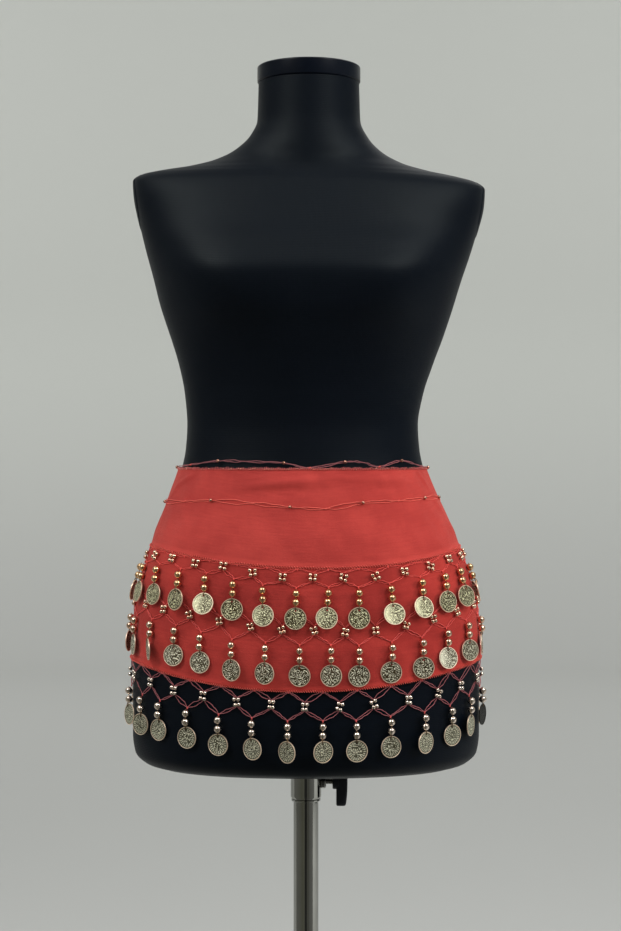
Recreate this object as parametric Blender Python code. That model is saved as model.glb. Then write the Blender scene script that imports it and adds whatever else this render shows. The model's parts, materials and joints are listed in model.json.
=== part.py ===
"""Belly dance hip scarf on a limbless dress form with a pole stand.

Run with: blender --background --python part.py
Metres, +Z up, +X to the wearer's left hand seen from the front, -Y to the front.
The origin is the middle of the round foot's underside, on the pole's axis.

The scarf has two layers of cloth wrapped once round the hips: the panel, and a shorter
overlay on its upper half. Both end in a lap at the back, held by a knot with two tails.
Three rows of knotted net carry bead clusters and drops of two beads and a coin.

Everything on the hips is laid out by three numbers. A turn is the place round the form,
0 at the front, positive to +X, and -0.5 or 0.5 at the middle of the back. A rise is the
height above the waist line, in millimetres. A lift is the distance out from the form.
"""

import math

import bpy
import bmesh
import numpy as np

MM = 0.001

# Heights, in millimetres above the floor.
WAIST_Z = 870.0
FORM_BOTTOM_RISE = -312.0

# Stand.
FOOT_RADIUS = 150.0
FOOT_THICKNESS = 9.0
FOOT_EDGE = 3.0
HUB_RADIUS = 21.0
HUB_TOP = 34.0
POLE_RADIUS = 13.0
POLE_TOP_RISE = -30.0
POLE_SEAT = 0.3
SOCKET_DEPTH = 25.0
SLEEVE_INNER = 13.4
SLEEVE_OUTER = 14.3
SLEEVE_LIP = 15.2
SLEEVE_LIP_HEIGHT = 2.2
COLLAR_INNER = 14.6
COLLAR_OUTER = 15.9
COLLAR_LENGTH = 49.4
FLANGE_RADIUS = 25.0
FLANGE_THICKNESS = 3.0
BORE_RADIUS = 14.6
BORE_TOP_RISE = 150.0
RECESS_RADIUS = 52.0
RECESS_DEPTH = 16.0
SEAM_GAP = 0.3

# Clamp screw and wing knob, on the +X side of the collar.
SCREW_DROP = 16.5
SCREW_RADIUS = 3.0
SCREW_HOLE_RADIUS = 3.3
BOSS_RADIUS = 7.2
BOSS_REACH = 20.8
WING_HUB_RADIUS = 7.8
WING_HUB_START = 27.6
WING_START, WING_END, WING_ROUND = 31.5, 43.2, 3.0
WING_HALF_LENGTH = 25.5
WING_HALF_WIDTH = 6.5

# Dress form: one row for each section, in millimetres. half_width is across, front and
# back are depths from the pole's axis, shift moves the section to +X, and square is the
# exponent of its outline, 2 for an ellipse.
SECTION_COLUMNS = ("rise", "half_width", "front", "back", "shift", "square")
SECTIONS = (
    (-312.0, 150.0, 86.0, 92.0, 0.0, 2.1),
    (-307.0, 166.0, 99.0, 106.0, 0.0, 2.1),
    (-296.0, 177.0, 106.5, 114.0, 0.0, 2.1),
    (-277.0, 179.6, 109.0, 118.0, 0.0, 2.1),
    (-197.0, 179.4, 110.0, 120.0, 0.0, 2.1),
    (-160.0, 177.3, 109.0, 119.5, 0.0, 2.1),
    (-130.0, 172.0, 107.0, 117.0, 0.0, 2.1),
    (-104.0, 165.3, 104.0, 113.0, -0.5, 2.1),
    (-80.0, 156.6, 100.0, 107.5, -1.0, 2.1),
    (-55.0, 146.0, 95.0, 101.0, -2.0, 2.1),
    (-30.0, 135.5, 90.0, 94.0, -3.0, 2.1),
    (-5.0, 126.0, 85.0, 87.5, -3.5, 2.1),
    (18.0, 121.3, 81.5, 83.0, -3.5, 2.1),
    (42.0, 119.8, 79.5, 80.0, -3.5, 2.1),
    (74.0, 123.8, 81.5, 80.0, -2.0, 2.1),
    (105.0, 132.0, 87.0, 84.0, 0.0, 2.15),
    (136.0, 142.5, 96.0, 89.0, 1.0, 2.2),
    (165.0, 152.0, 104.0, 93.0, 1.0, 2.25),
    (192.0, 159.5, 106.0, 95.0, 1.5, 2.3),
    (220.0, 168.0, 98.0, 95.0, 2.0, 2.35),
    (247.0, 175.2, 85.0, 93.0, 2.5, 2.4),
    (274.0, 181.0, 73.0, 88.0, 3.0, 2.4),
    (290.0, 182.0, 66.0, 83.0, 3.0, 2.25),
    (297.0, 175.0, 62.0, 78.0, 3.0, 2.05),
    (301.5, 159.0, 60.0, 75.0, 3.0, 1.85),
    (307.0, 129.0, 58.5, 72.0, 3.0, 1.75),
    (315.0, 99.0, 57.5, 69.0, 2.5, 1.7),
    (326.0, 77.0, 56.5, 65.0, 2.5, 1.8),
    (341.0, 61.5, 55.0, 59.5, 3.0, 1.9),
    (358.0, 53.6, 53.6, 54.5, 3.0, 2.0),
    (397.0, 52.3, 52.3, 52.3, 3.0, 2.0),
)
FORM_COLUMNS = 32
# The shoulders lean by this much, more on +X, fading out at the bust and at the neck.
SHOULDER_LEAN = 0.026
LEAN_LOW, LEAN_FULL, LEAN_END = 150.0, 270.0, 400.0
BUST_HEIGHT, BUST_RISE, BUST_SPREAD, BUST_TURN, BUST_WIDTH = 11.0, 186.0, 42.0, 0.092, 0.062
CAP_HEIGHT, CAP_RADIUS, CAP_BEVEL = 17.0, 53.6, 2.0

# Cloth. Walls are one millimetre thick, and the lap lies on both layers below it.
CLOTH_GAP, CLOTH_WALL = 1.2, 1.0
OVERLAY_LIFT = CLOTH_GAP + CLOTH_WALL + SEAM_GAP
LAP_LIFT = OVERLAY_LIFT + CLOTH_WALL + SEAM_GAP - CLOTH_GAP
LAP_TURN = 0.042
LAP_RAMP_START, LAP_RAMP_END = 0.435, 0.49
CLOTH_COLUMNS = 44
OVERLAY_ROWS, LOWER_ROWS = 5, 4
TOP_RISE = -4.0
OVERLAY_RISE, OVERLAY_SAG, OVERLAY_SAG_TURN = -83.5, 18.0, 0.018
HEM_RISE, HEM_SAG, HEM_BACK_LIFT = -198.0, 24.0, 4.0

# Soft folds in the overlay: where the ridge's middle is, its half length round the form,
# its half width up and down, its height, and how much it climbs from end to end.
FOLD_COLUMNS = ("turn", "rise", "half_length", "half_width", "height", "climb")
FOLDS = (
    (-0.130, -34.0, 0.070, 12.0, 2.4, 26.0),
    (-0.020, -30.0, 0.100, 11.0, 2.0, 14.0),
    (0.110, -26.0, 0.080, 12.0, 2.2, -12.0),
    (0.030, -62.0, 0.150, 13.0, 1.3, -4.0),
    (0.215, -52.0, 0.060, 13.0, 1.8, -20.0),
    (0.370, -38.0, 0.090, 12.0, 2.4, 34.0),
    (0.395, -64.0, 0.070, 12.0, 2.0, 44.0),
    (-0.385, -40.0, 0.080, 12.0, 2.4, -36.0),
    (-0.400, -66.0, 0.060, 12.0, 2.0, -46.0),
)

# Net rows. Each cell has an anchor at the cloth, a drop below it, and a cluster of beads
# on each side, half a pitch away. Heights are below the row's line.
ROW_COLUMNS = (
    "name", "cells", "phase", "level", "anchor", "cluster", "knot", "strand_lift",
    "bead_lift", "coin_clear",
)
ROWS = (
    ("upper", 29, -0.0085, -125.0, 0.8, 9.5, 18.5, 2.9, 6.8, 5.9),
    ("middle", 29, -0.0085, -175.0, 43.0, 62.0, 78.0, 2.9, 6.4, 3.1),
    ("lower", 28, 0.5 / 28, -225.0, 0.6, 16.0, 33.0, 1.3, 4.6, 1.6),
)
STRAND_WALL = 1.1
ANCHOR_DEPTH = 1.8
KNOT_HALF, KNOT_DEPTH = 1.2, 1.6
CLUSTER_HALF, CLUSTER_FLAT, CLUSTER_WALL = 4.3, 2.7, 2.5
LAP_CLEAR_TURN = 0.008
HANG_STOP_RISE = -255.0

# Drop: distances below its knot, and half sizes across.
BEAD_TOP_DROP, BEAD_PITCH, BEAD_HALF, THREAD_HALF = 4.2, 7.1, 3.1, 0.7
COIN_TOP_DROP, COIN_DIAMETER, COIN_HALF_WALL = 16.8, 22.4, 0.7
# Coins that hang turned, as row name and cell number to degrees. Others sway a little.
COIN_TURNS = {
    ("upper", -4): 10.0, ("upper", -3): -22.0, ("upper", 0): 10.0, ("upper", 1): -12.0,
    ("upper", 6): 16.0, ("middle", -5): 24.0, ("middle", -2): 19.0, ("middle", 0): 10.0,
    ("middle", 3): -9.0, ("middle", 4): 10.0, ("lower", -7): 24.0, ("lower", -3): 14.0,
    ("lower", -2): 27.0, ("lower", -1): 36.0, ("lower", 0): -28.0, ("lower", 2): -13.0,
    ("lower", 3): -22.0, ("lower", 4): 8.0, ("lower", 5): -10.0, ("lower", 6): 22.0,
}
COIN_SWAY, SWAY_STEP = 6.0, 2.4

# Knot and tails at the back.
KNOT_TURN, KNOT_RISE = 0.512, -15.0
KNOT_HALF_SIZE = (19.0, 9.0, 13.0)
TAIL_LENGTH, TAIL_TOP_WIDTH, TAIL_END_WIDTH, TAIL_WALL = 49.0, 11.0, 40.0, 2.0
TAIL_WAVES, TAIL_WAVE_HEIGHT, TAIL_LIFT, TAIL_POINT = 2.0, 2.2, 4.1, 7.0
TAIL_COLUMNS, TAIL_ROWS = 10, 5
TAIL_SPREAD = 19.0

MATERIALS = {
    "cloth": ((0.62, 0.045, 0.04), 0.85, 0.0),
    "gilt": ((0.62, 0.5, 0.3), 0.35, 1.0),
    "jersey": ((0.012, 0.013, 0.016), 0.9, 0.0),
    "black_plastic": ((0.01, 0.01, 0.012), 0.45, 0.0),
    "chrome": ((0.75, 0.75, 0.73), 0.15, 1.0),
}


def material(name):
    """The Principled material of that name, made once."""
    found = bpy.data.materials.get(name)
    if found:
        return found
    colour, roughness, metallic = MATERIALS[name]
    made = bpy.data.materials.new(name)
    made.use_nodes = True
    shader = made.node_tree.nodes["Principled BSDF"]
    shader.inputs["Base Color"].default_value = (*colour, 1.0)
    shader.inputs["Roughness"].default_value = roughness
    shader.inputs["Metallic"].default_value = metallic
    return made


def add_object(name, points, faces, finish, hidden=False):
    """An object from points in millimetres. A hidden one is a cutter or a joined piece."""
    mesh = bpy.data.meshes.new(name)
    mesh.from_pydata([tuple(np.asarray(p) * MM) for p in points], [], faces)
    mesh.update()
    made = bpy.data.objects.new(name, mesh)
    bpy.context.scene.collection.objects.link(made)
    if hidden:
        made.hide_render = True
        made.display_type = "WIRE"
    else:
        mesh.materials.append(material(finish))
        mesh.shade_smooth()
        mesh.set_sharp_from_angle(angle=math.radians(40))
    return made


def add_rings(name, rings, finish, closed=False, hidden=False):
    """A solid skinned over rings of points, with its ends filled or joined to each other."""
    count = len(rings[0])
    points = [p for ring in rings for p in ring]
    faces = []
    last = len(rings) if closed else len(rings) - 1
    for low in range(last):
        high = (low + 1) % len(rings)
        for i in range(count):
            j = (i + 1) % count
            faces.append(
                (low * count + i, low * count + j, high * count + j, high * count + i)
            )
    if not closed:
        faces.append(tuple(range(count))[::-1])
        faces.append(tuple((len(rings) - 1) * count + i for i in range(count)))
    made = add_object(name, points, faces, finish, hidden)
    rebuilt = bmesh.new()
    rebuilt.from_mesh(made.data)
    bmesh.ops.recalc_face_normals(rebuilt, faces=rebuilt.faces)
    rebuilt.to_mesh(made.data)
    rebuilt.free()
    return made


def circle(radius, z, count=32, centre=(0.0, 0.0)):
    """A level ring of points."""
    angles = np.arange(count) * math.tau / count
    return [
        (centre[0] + radius * math.sin(a), centre[1] - radius * math.cos(a), z)
        for a in angles
    ]


def add_turned(name, profile, finish, closed=False, count=32, centre=(0.0, 0.0)):
    """A solid turned round the vertical from (radius, height) pairs."""
    rings = [circle(radius, z, count, centre) for radius, z in profile]
    return add_rings(name, rings, finish, closed)


def add_rod(name, radius, start, end, z, count=16):
    """A hidden rod along +X, to be joined or cut."""
    angles = np.arange(count) * math.tau / count
    rings = [
        [(x, radius * math.cos(a), z + radius * math.sin(a)) for a in angles]
        for x in (start, end)
    ]
    return add_rings(name, rings, None, hidden=True)


def combine(target, other, operation):
    """Applies a Boolean to a finished object, live, with Blender's exact solver."""
    boolean = target.modifiers.new(other.name, "BOOLEAN")
    boolean.operation = operation
    boolean.solver = "EXACT"
    boolean.object = other


def eased(share):
    """A smooth step from 0 to 1."""
    share = np.clip(share, 0.0, 1.0)
    return share * share * (3.0 - 2.0 * share)


def column_curve(column):
    """Heights, values and slopes of one column of SECTIONS, for a curve that never
    overshoots: each slope is the harmonic mean of its two neighbours."""
    table = np.array(SECTIONS)
    x, y = table[:, 0], table[:, SECTION_COLUMNS.index(column)]
    step = np.diff(y) / np.diff(x)
    slope = np.zeros(len(x))
    same = step[:-1] * step[1:] > 0
    slope[1:-1][same] = 2 * (step[:-1] * step[1:])[same] / (step[:-1] + step[1:])[same]
    slope[0], slope[-1] = step[0], step[-1]
    return x, y, slope


CURVES = {column: column_curve(column) for column in SECTION_COLUMNS[1:]}


def section(column, rise):
    """The value of a column at any rise."""
    x, y, slope = CURVES[column]
    rise = np.clip(rise, x[0], x[-1])
    i = np.clip(np.searchsorted(x, rise) - 1, 0, len(x) - 2)
    width = x[i + 1] - x[i]
    s = (rise - x[i]) / width
    return (
        y[i] * (1 + 2 * s) * (1 - s) ** 2
        + y[i + 1] * s * s * (3 - 2 * s)
        + slope[i] * width * s * (1 - s) ** 2
        + slope[i + 1] * width * s * s * (s - 1)
    )


def skin(turn, rise):
    """A point of the form: a rounded section, with the bust's soft swell and the lean."""
    angle = math.tau * turn
    power = 2.0 / section("square", rise)
    across, along = np.sin(angle), np.cos(angle)
    depth = np.where(along > 0, section("front", rise), section("back", rise))
    x = section("half_width", rise) * np.sign(across) * np.abs(across) ** power
    y = -depth * np.sign(along) * np.abs(along) ** power
    side = np.exp(-(((np.abs(turn) - BUST_TURN) / BUST_WIDTH) ** 2))
    y = y - BUST_HEIGHT * side * np.exp(-(((rise - BUST_RISE) / BUST_SPREAD) ** 2))
    lean = eased((rise - LEAN_LOW) / (LEAN_FULL - LEAN_LOW))
    lean = lean * (1 - eased((rise - LEAN_FULL) / (LEAN_END - LEAN_FULL)))
    z = WAIST_Z + rise - SHOULDER_LEAN * lean * x
    return np.stack([x + section("shift", rise), y, z], axis=-1)


def outward(turn, rise):
    """The unit normal of the form."""
    step_turn, step_rise = 0.001, 0.5
    around = skin(turn + step_turn, rise) - skin(turn - step_turn, rise)
    up = skin(turn, rise + step_rise) - skin(turn, rise - step_rise)
    normal = np.cross(around, up)
    return normal / np.linalg.norm(normal, axis=-1, keepdims=True)


def lap_lift(turn):
    """How far the outer end of the scarf rises to lie on its inner end."""
    return LAP_LIFT * eased((turn - LAP_RAMP_START) / (LAP_RAMP_END - LAP_RAMP_START))


def placed(turn, rise, lift):
    """A point lifted from the form, and over the lap."""
    turn, rise = np.asarray(turn, float), np.asarray(rise, float)
    height = np.asarray(lift + lap_lift(turn))[..., None]
    return skin(turn, rise) + outward(turn, rise) * height


def overlay_line(turn):
    """The overlay's hem, lowest a little to +X of the front."""
    front = np.maximum(np.cos(math.tau * (turn - OVERLAY_SAG_TURN)), 0.0)
    return OVERLAY_RISE - OVERLAY_SAG * front**2


def hem_line(turn):
    """The panel's hem, lowest at the front and drawn up a little at the back."""
    along = np.cos(math.tau * turn)
    drop = np.where(along > 0, HEM_SAG, -HEM_BACK_LIFT)
    return HEM_RISE - drop * along**2


def fold_height(turn, rise):
    """The sum of the soft ridges: each is a bell across and a cosine along its length."""
    total = np.zeros(np.broadcast(turn, rise).shape)
    for row in FOLDS:
        fold = dict(zip(FOLD_COLUMNS, row))
        along = (turn - fold["turn"]) / fold["half_length"]
        middle = fold["rise"] + 0.5 * fold["climb"] * along
        bell = np.exp(-(((rise - middle) / fold["half_width"]) ** 2))
        total += fold["height"] * bell * np.cos(np.clip(along, -1, 1) * math.pi / 2) ** 2
    return total


def add_wall(name, rows_of_rise, lift, folded, finish):
    """A cloth wall from the inner end of the lap round to its outer end: a grid of points
    at each row's rises, with the Solidify modifier's thickness on its outer side."""
    lap_columns = round(CLOTH_COLUMNS * LAP_TURN)
    turns = np.arange(CLOTH_COLUMNS + lap_columns + 1) / CLOTH_COLUMNS - 0.5
    turns[-1] = 0.5 + LAP_TURN
    points, faces = [], []
    for rises in rows_of_rise:
        levels = rises(turns)
        height = lift + (fold_height(turns, levels) if folded else 0.0)
        points.extend(placed(turns, levels, height))
    count = len(turns)
    for row in range(len(rows_of_rise) - 1):
        for i in range(count - 1):
            a = row * count + i
            faces.append((a, a + count, a + count + 1, a + 1))
    wall = add_object(name, points, faces, finish)
    solidify = wall.modifiers.new("thickness", "SOLIDIFY")
    solidify.thickness = CLOTH_WALL * MM
    solidify.offset = 1.0
    return wall


def between(low_line, high_line, share):
    """A row that lies between two lines round the scarf."""
    return lambda turn: low_line(turn) * share + high_line(turn) * (1 - share)


def top_line(turn):
    """The scarf's upper edge."""
    return np.full(np.shape(turn), TOP_RISE)


def add_cloth():
    """The panel from waist to hem, and the overlay on its upper part, row for row."""
    upper = [
        between(overlay_line, top_line, i / OVERLAY_ROWS) for i in range(OVERLAY_ROWS + 1)
    ]
    lower = [
        between(hem_line, overlay_line, i / LOWER_ROWS) for i in range(1, LOWER_ROWS + 1)
    ]
    add_wall("panel", upper + lower, CLOTH_GAP, False, "cloth")
    add_wall("overlay", upper, OVERLAY_LIFT, True, "cloth")


class Net:
    """A half of one net row, drawn flat as distances round the row and rises, then
    wrapped on the form. Corners come in pairs, on the net's inner and outer side."""

    def __init__(self, row):
        self.row = row
        self.points, self.faces = [], []
        turns = np.linspace(-0.6, 0.6, 481)
        line = skin(turns, np.full(len(turns), row["level"]))
        steps = np.linalg.norm(np.diff(line, axis=0), axis=1)
        self.turns = turns
        self.along = np.concatenate([[0.0], np.cumsum(steps)])
        self.along -= np.interp(0.0, turns, self.along)
        self.girth = np.interp(0.5, turns, self.along) - np.interp(-0.5, turns, self.along)

    def turn_at(self, distance):
        return float(np.interp(distance, self.along, self.turns))

    def corner(self, distance, rise, wall):
        """The inner and outer point at a place on the net."""
        turn = self.turn_at(distance)
        made = []
        for lift in (self.row["strand_lift"], self.row["strand_lift"] + wall):
            made.append(len(self.points))
            self.points.append(placed(turn, max(rise, HANG_STOP_RISE), lift))
            self.points[-1][2] = WAIST_Z + rise
        return tuple(made)

    def strand(self, first, second):
        """Four sides between two edges, each two corners: the upper, then the lower."""
        (ai, ao), (bi, bo) = first
        (ci, co), (di, do) = second
        self.faces += [
            (ao, bo, do, co), (bi, ai, ci, di), (ai, ao, co, ci), (bo, bi, di, do)
        ]

    def cap(self, corners):
        """The inner and outer face of a joint, corners going round."""
        self.faces.append(tuple(c[1] for c in corners))
        self.faces.append(tuple(c[0] for c in reversed(corners)))

    def close(self, first, second):
        """A side face of a joint, or the cut end of a strand."""
        self.faces.append((first[0], first[1], second[1], second[0]))

    def cluster(self, distance, rise):
        """An eight-sided block for four beads. Its slanting edges take the strands."""
        h, f = CLUSTER_HALF, CLUSTER_FLAT
        around = ((-f, h), (f, h), (h, f), (h, -f), (f, -h), (-f, -h), (-h, -f), (-h, f))
        c = [self.corner(distance + a, rise + b, CLUSTER_WALL) for a, b in around]
        self.cap(c[::-1])
        for k in (0, 2, 4, 6):
            self.close(c[k], c[k + 1])
        return {
            "up_right": (c[1], c[2]), "down_right": (c[3], c[4]),
            "down_left": (c[6], c[5]), "up_left": (c[0], c[7]),
        }

    def anchor(self, distance, rise):
        """The mitre where two strands meet below the cloth."""
        return (
            self.corner(distance, rise, STRAND_WALL),
            self.corner(distance, rise - ANCHOR_DEPTH, STRAND_WALL),
        )

    def knot(self, distance, rise):
        """The three-sided joint that carries a drop."""
        top = self.corner(distance, rise, STRAND_WALL)
        left = self.corner(distance - KNOT_HALF, rise - KNOT_DEPTH, STRAND_WALL)
        right = self.corner(distance + KNOT_HALF, rise - KNOT_DEPTH, STRAND_WALL)
        self.cap([top, left, right])
        return {"left": (top, left), "right": (top, right), "below": (left, right)}

    def drop(self, below, distance, rise, turned):
        """Two beads and a coin, skinned over four-sided rings down from the knot."""
        row = self.row
        turn = self.turn_at(distance)
        coin_lift = row["coin_clear"] + COIN_HALF_WALL
        coin_lift += 0.5 * COIN_DIAMETER * abs(math.sin(turned))
        bead, thread, half = row["bead_lift"], THREAD_HALF, 0.5 * COIN_DIAMETER
        edge = half * math.tan(math.pi / 8)
        coin = COIN_TOP_DROP
        rings = (
            (BEAD_TOP_DROP, bead, BEAD_HALF, BEAD_HALF, 0.0),
            (BEAD_TOP_DROP + 0.5 * BEAD_PITCH, bead, thread, thread, 0.0),
            (BEAD_TOP_DROP + BEAD_PITCH, bead, BEAD_HALF, BEAD_HALF, 0.0),
            (coin - 1.6, 0.5 * (bead + coin_lift), thread, thread, 0.5 * turned),
            (coin, coin_lift, edge, COIN_HALF_WALL, turned),
            (coin + half - edge, coin_lift, half, COIN_HALF_WALL, turned),
            (coin + half + edge, coin_lift, half, COIN_HALF_WALL, turned),
            (coin + 2 * half, coin_lift, edge, COIN_HALF_WALL, turned),
        )
        (li, lo), (ri, ro) = below
        last = [li, ri, ro, lo]
        for fall, lift, half_across, half_through, angle in rings:
            level = rise - fall
            shelf = max(level, HANG_STOP_RISE)
            centre = placed(turn, shelf, lift)
            centre[2] = WAIST_Z + level
            normal = outward(turn, shelf) * np.array([1.0, 1.0, 0.0])
            normal /= np.linalg.norm(normal)
            across = np.array([-normal[1], normal[0], 0.0])
            wide = across * math.cos(angle) + normal * math.sin(angle)
            deep = normal * math.cos(angle) - across * math.sin(angle)
            signs = ((-1, -1), (1, -1), (1, 1), (-1, 1))
            ring = []
            for a, b in signs:
                ring.append(len(self.points))
                self.points.append(centre + wide * a * half_across + deep * b * half_through)
            for k in range(4):
                j = (k + 1) % 4
                self.faces.append((last[k], last[j], ring[j], ring[k]))
            last = ring
        self.faces.append(tuple(last))


def coin_turn(name, cell):
    """How far a coin is turned, in radians."""
    sway = COIN_SWAY * math.sin(SWAY_STEP * cell + len(name))
    return math.radians(COIN_TURNS.get((name, cell), sway))


def add_net_half(row, cells, side, line, joins_next):
    """Cells of one net row that lie side by side. Where the other half goes on, it owns
    the shared cluster and this half's strands stop just short of it."""
    net = Net(row)
    pitch = net.girth / row["cells"]
    start = row["phase"] * net.girth

    def level(distance, key):
        return float(line(net.turn_at(distance))) - row[key]

    clusters = {}
    for cell in cells[:-1] + (cells[-1:] if joins_next else []):
        distance = start + (cell + 0.5) * pitch
        clusters[cell] = net.cluster(distance, level(distance, "cluster"))
    if joins_next:
        for edge in ("up_right", "down_right"):
            net.close(*clusters[cells[-1]][edge])
    for cell in cells:
        distance = start + cell * pitch
        anchor = net.anchor(distance, level(distance, "anchor"))
        knot = net.knot(distance, level(distance, "knot"))
        net.drop(knot["below"], distance, level(distance, "knot"), coin_turn(row["name"], cell))
        left, right = clusters.get(cell - 1), clusters.get(cell)
        if left:
            net.strand(left["up_right"], anchor)
            net.strand(left["down_right"], knot["left"])
        if right:
            net.strand(anchor, right["up_left"])
            net.strand(knot["right"], right["down_left"])
        if left and right:
            continue
        # An end cell: a short stub towards the missing cluster closes each strand.
        way = -1 if right else 1
        reach = start + (cell + 0.5 * way) * pitch - way * (CLUSTER_HALF + SEAM_GAP)
        at_lap = not (cell == cells[0] and not joins_next)
        if at_lap:
            net.close(*(anchor if way < 0 else anchor[::-1]))
            net.close(*(knot["left"] if way < 0 else knot["right"][::-1]))
            continue
        middle = level(start + (cell + 0.5 * way) * pitch, "cluster")
        for edge, height in ((anchor, CLUSTER_HALF), (knot["left"], -CLUSTER_HALF)):
            end = [
                net.corner(reach, middle + height + offset, STRAND_WALL)
                for offset in (0.0, -ANCHOR_DEPTH)
            ]
            net.strand(end, edge)
            net.close(*end)
    made = add_object(f"net_{row['name']}_{side}", net.points, net.faces, "gilt")
    tidy = bmesh.new()
    tidy.from_mesh(made.data)
    bmesh.ops.delete(tidy, geom=[v for v in tidy.verts if not v.link_faces], context="VERTS")
    bmesh.ops.recalc_face_normals(tidy, faces=tidy.faces)
    tidy.to_mesh(made.data)
    tidy.free()
    return made


def add_nets():
    """Each row in a right and a left half, from the lap's edge round to it again."""
    lines = {"upper": overlay_line, "middle": overlay_line, "lower": hem_line}
    for values in ROWS:
        row = dict(zip(ROW_COLUMNS, values))
        first = math.ceil((LAP_TURN + LAP_CLEAR_TURN - 0.5 - row["phase"]) * row["cells"])
        last = math.floor((LAP_TURN - LAP_CLEAR_TURN + 0.5 - row["phase"]) * row["cells"])
        line = lines[row["name"]]
        add_net_half(row, list(range(first, 1)), "right", line, True)
        add_net_half(row, list(range(1, last + 1)), "left", line, False)


def add_knot():
    """The scarf's two upper corners tied at the back: a knot and two hanging tails."""
    lift = OVERLAY_LIFT + CLOTH_WALL + SEAM_GAP + KNOT_HALF_SIZE[1]
    centre = placed(KNOT_TURN, KNOT_RISE, lift)
    half_x, half_y, half_z = KNOT_HALF_SIZE
    rings = []
    for fall in (-0.92, -0.6, 0.0, 0.6, 0.92):
        share = math.sqrt(1 - fall * fall)
        rings.append([
            (centre[0] + half_x * share * x, centre[1] + half_y * share * y, centre[2] + half_z * fall)
            for x, y, _ in circle(1.0, 0.0, 14)
        ])
    add_rings("knot", rings, "cloth")
    for side, way in (("right", -1.0), ("left", 1.0)):
        add_tail(f"tail_{side}", centre, way)


def add_tail(name, centre, way):
    """One hanging corner: a strip that widens downwards in soft pleats to a slant end."""
    points, faces = [], []
    for layer in (0.0, TAIL_WALL):
        for row in range(TAIL_ROWS + 1):
            share = row / TAIL_ROWS
            width = TAIL_TOP_WIDTH + (TAIL_END_WIDTH - TAIL_TOP_WIDTH) * eased(share)
            for column in range(TAIL_COLUMNS + 1):
                across = column / TAIL_COLUMNS - 0.5
                fall = (TAIL_LENGTH + TAIL_POINT * across * way) * share
                wave = math.cos(across * math.tau * TAIL_WAVES)
                out = TAIL_LIFT + TAIL_WAVE_HEIGHT * (1 + wave * share) + layer
                x = centre[0] + way * (8.0 + TAIL_SPREAD * share) + across * width
                rise = KNOT_RISE - KNOT_HALF_SIZE[2] - fall
                wall = placed(0.5, rise, 0.0)
                bow = section("back", rise) * (1 - math.sqrt(1 - (x / section("half_width", rise)) ** 2))
                points.append((x, wall[1] - bow + out, WAIST_Z + rise))
    count = TAIL_COLUMNS + 1
    sheet = count * (TAIL_ROWS + 1)
    for row in range(TAIL_ROWS):
        for i in range(TAIL_COLUMNS):
            a = row * count + i
            quad = (a, a + 1, a + count + 1, a + count)
            faces.append(quad)
            faces.append(tuple(q + sheet for q in reversed(quad)))
    edge = list(range(count))
    edge += [row * count + count - 1 for row in range(1, TAIL_ROWS + 1)]
    edge += [TAIL_ROWS * count + i for i in range(count - 2, -1, -1)]
    edge += [row * count for row in range(TAIL_ROWS - 1, 0, -1)]
    for a, b in zip(edge, edge[1:] + edge[:1]):
        faces.append((b, a, a + sheet, b + sheet))
    made = add_object(name, points, faces, "cloth")
    tidy = bmesh.new()
    tidy.from_mesh(made.data)
    bmesh.ops.recalc_face_normals(tidy, faces=tidy.faces)
    tidy.to_mesh(made.data)
    tidy.free()


def add_form():
    """The form's body with the bore that the pole runs in and the recess that the wing
    knob turns in, and the neck's flat cap."""
    turns = np.arange(FORM_COLUMNS) / FORM_COLUMNS
    turns = np.where(turns > 0.5, turns - 1.0, turns)
    rings = [list(skin(turns, np.full(FORM_COLUMNS, row[0]))) for row in SECTIONS]
    bottom = WAIST_Z + FORM_BOTTOM_RISE
    ceiling = bottom + RECESS_DEPTH
    hollow = [
        circle(radius, z, FORM_COLUMNS)
        for radius, z in (
            (BORE_RADIUS, WAIST_Z + BORE_TOP_RISE),
            (BORE_RADIUS, ceiling),
            (RECESS_RADIUS, ceiling),
            (RECESS_RADIUS, bottom),
        )
    ]
    add_rings("form_body", hollow + rings, "jersey")
    top = SECTIONS[-1]
    cap_low = WAIST_Z + top[0] + SEAM_GAP
    add_turned(
        "neck_cap",
        (
            (CAP_RADIUS, cap_low),
            (CAP_RADIUS, cap_low + CAP_HEIGHT - CAP_BEVEL),
            (CAP_RADIUS - CAP_BEVEL, cap_low + CAP_HEIGHT),
        ),
        "black_plastic",
        centre=(top[4], 0.0),
    )


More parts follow.
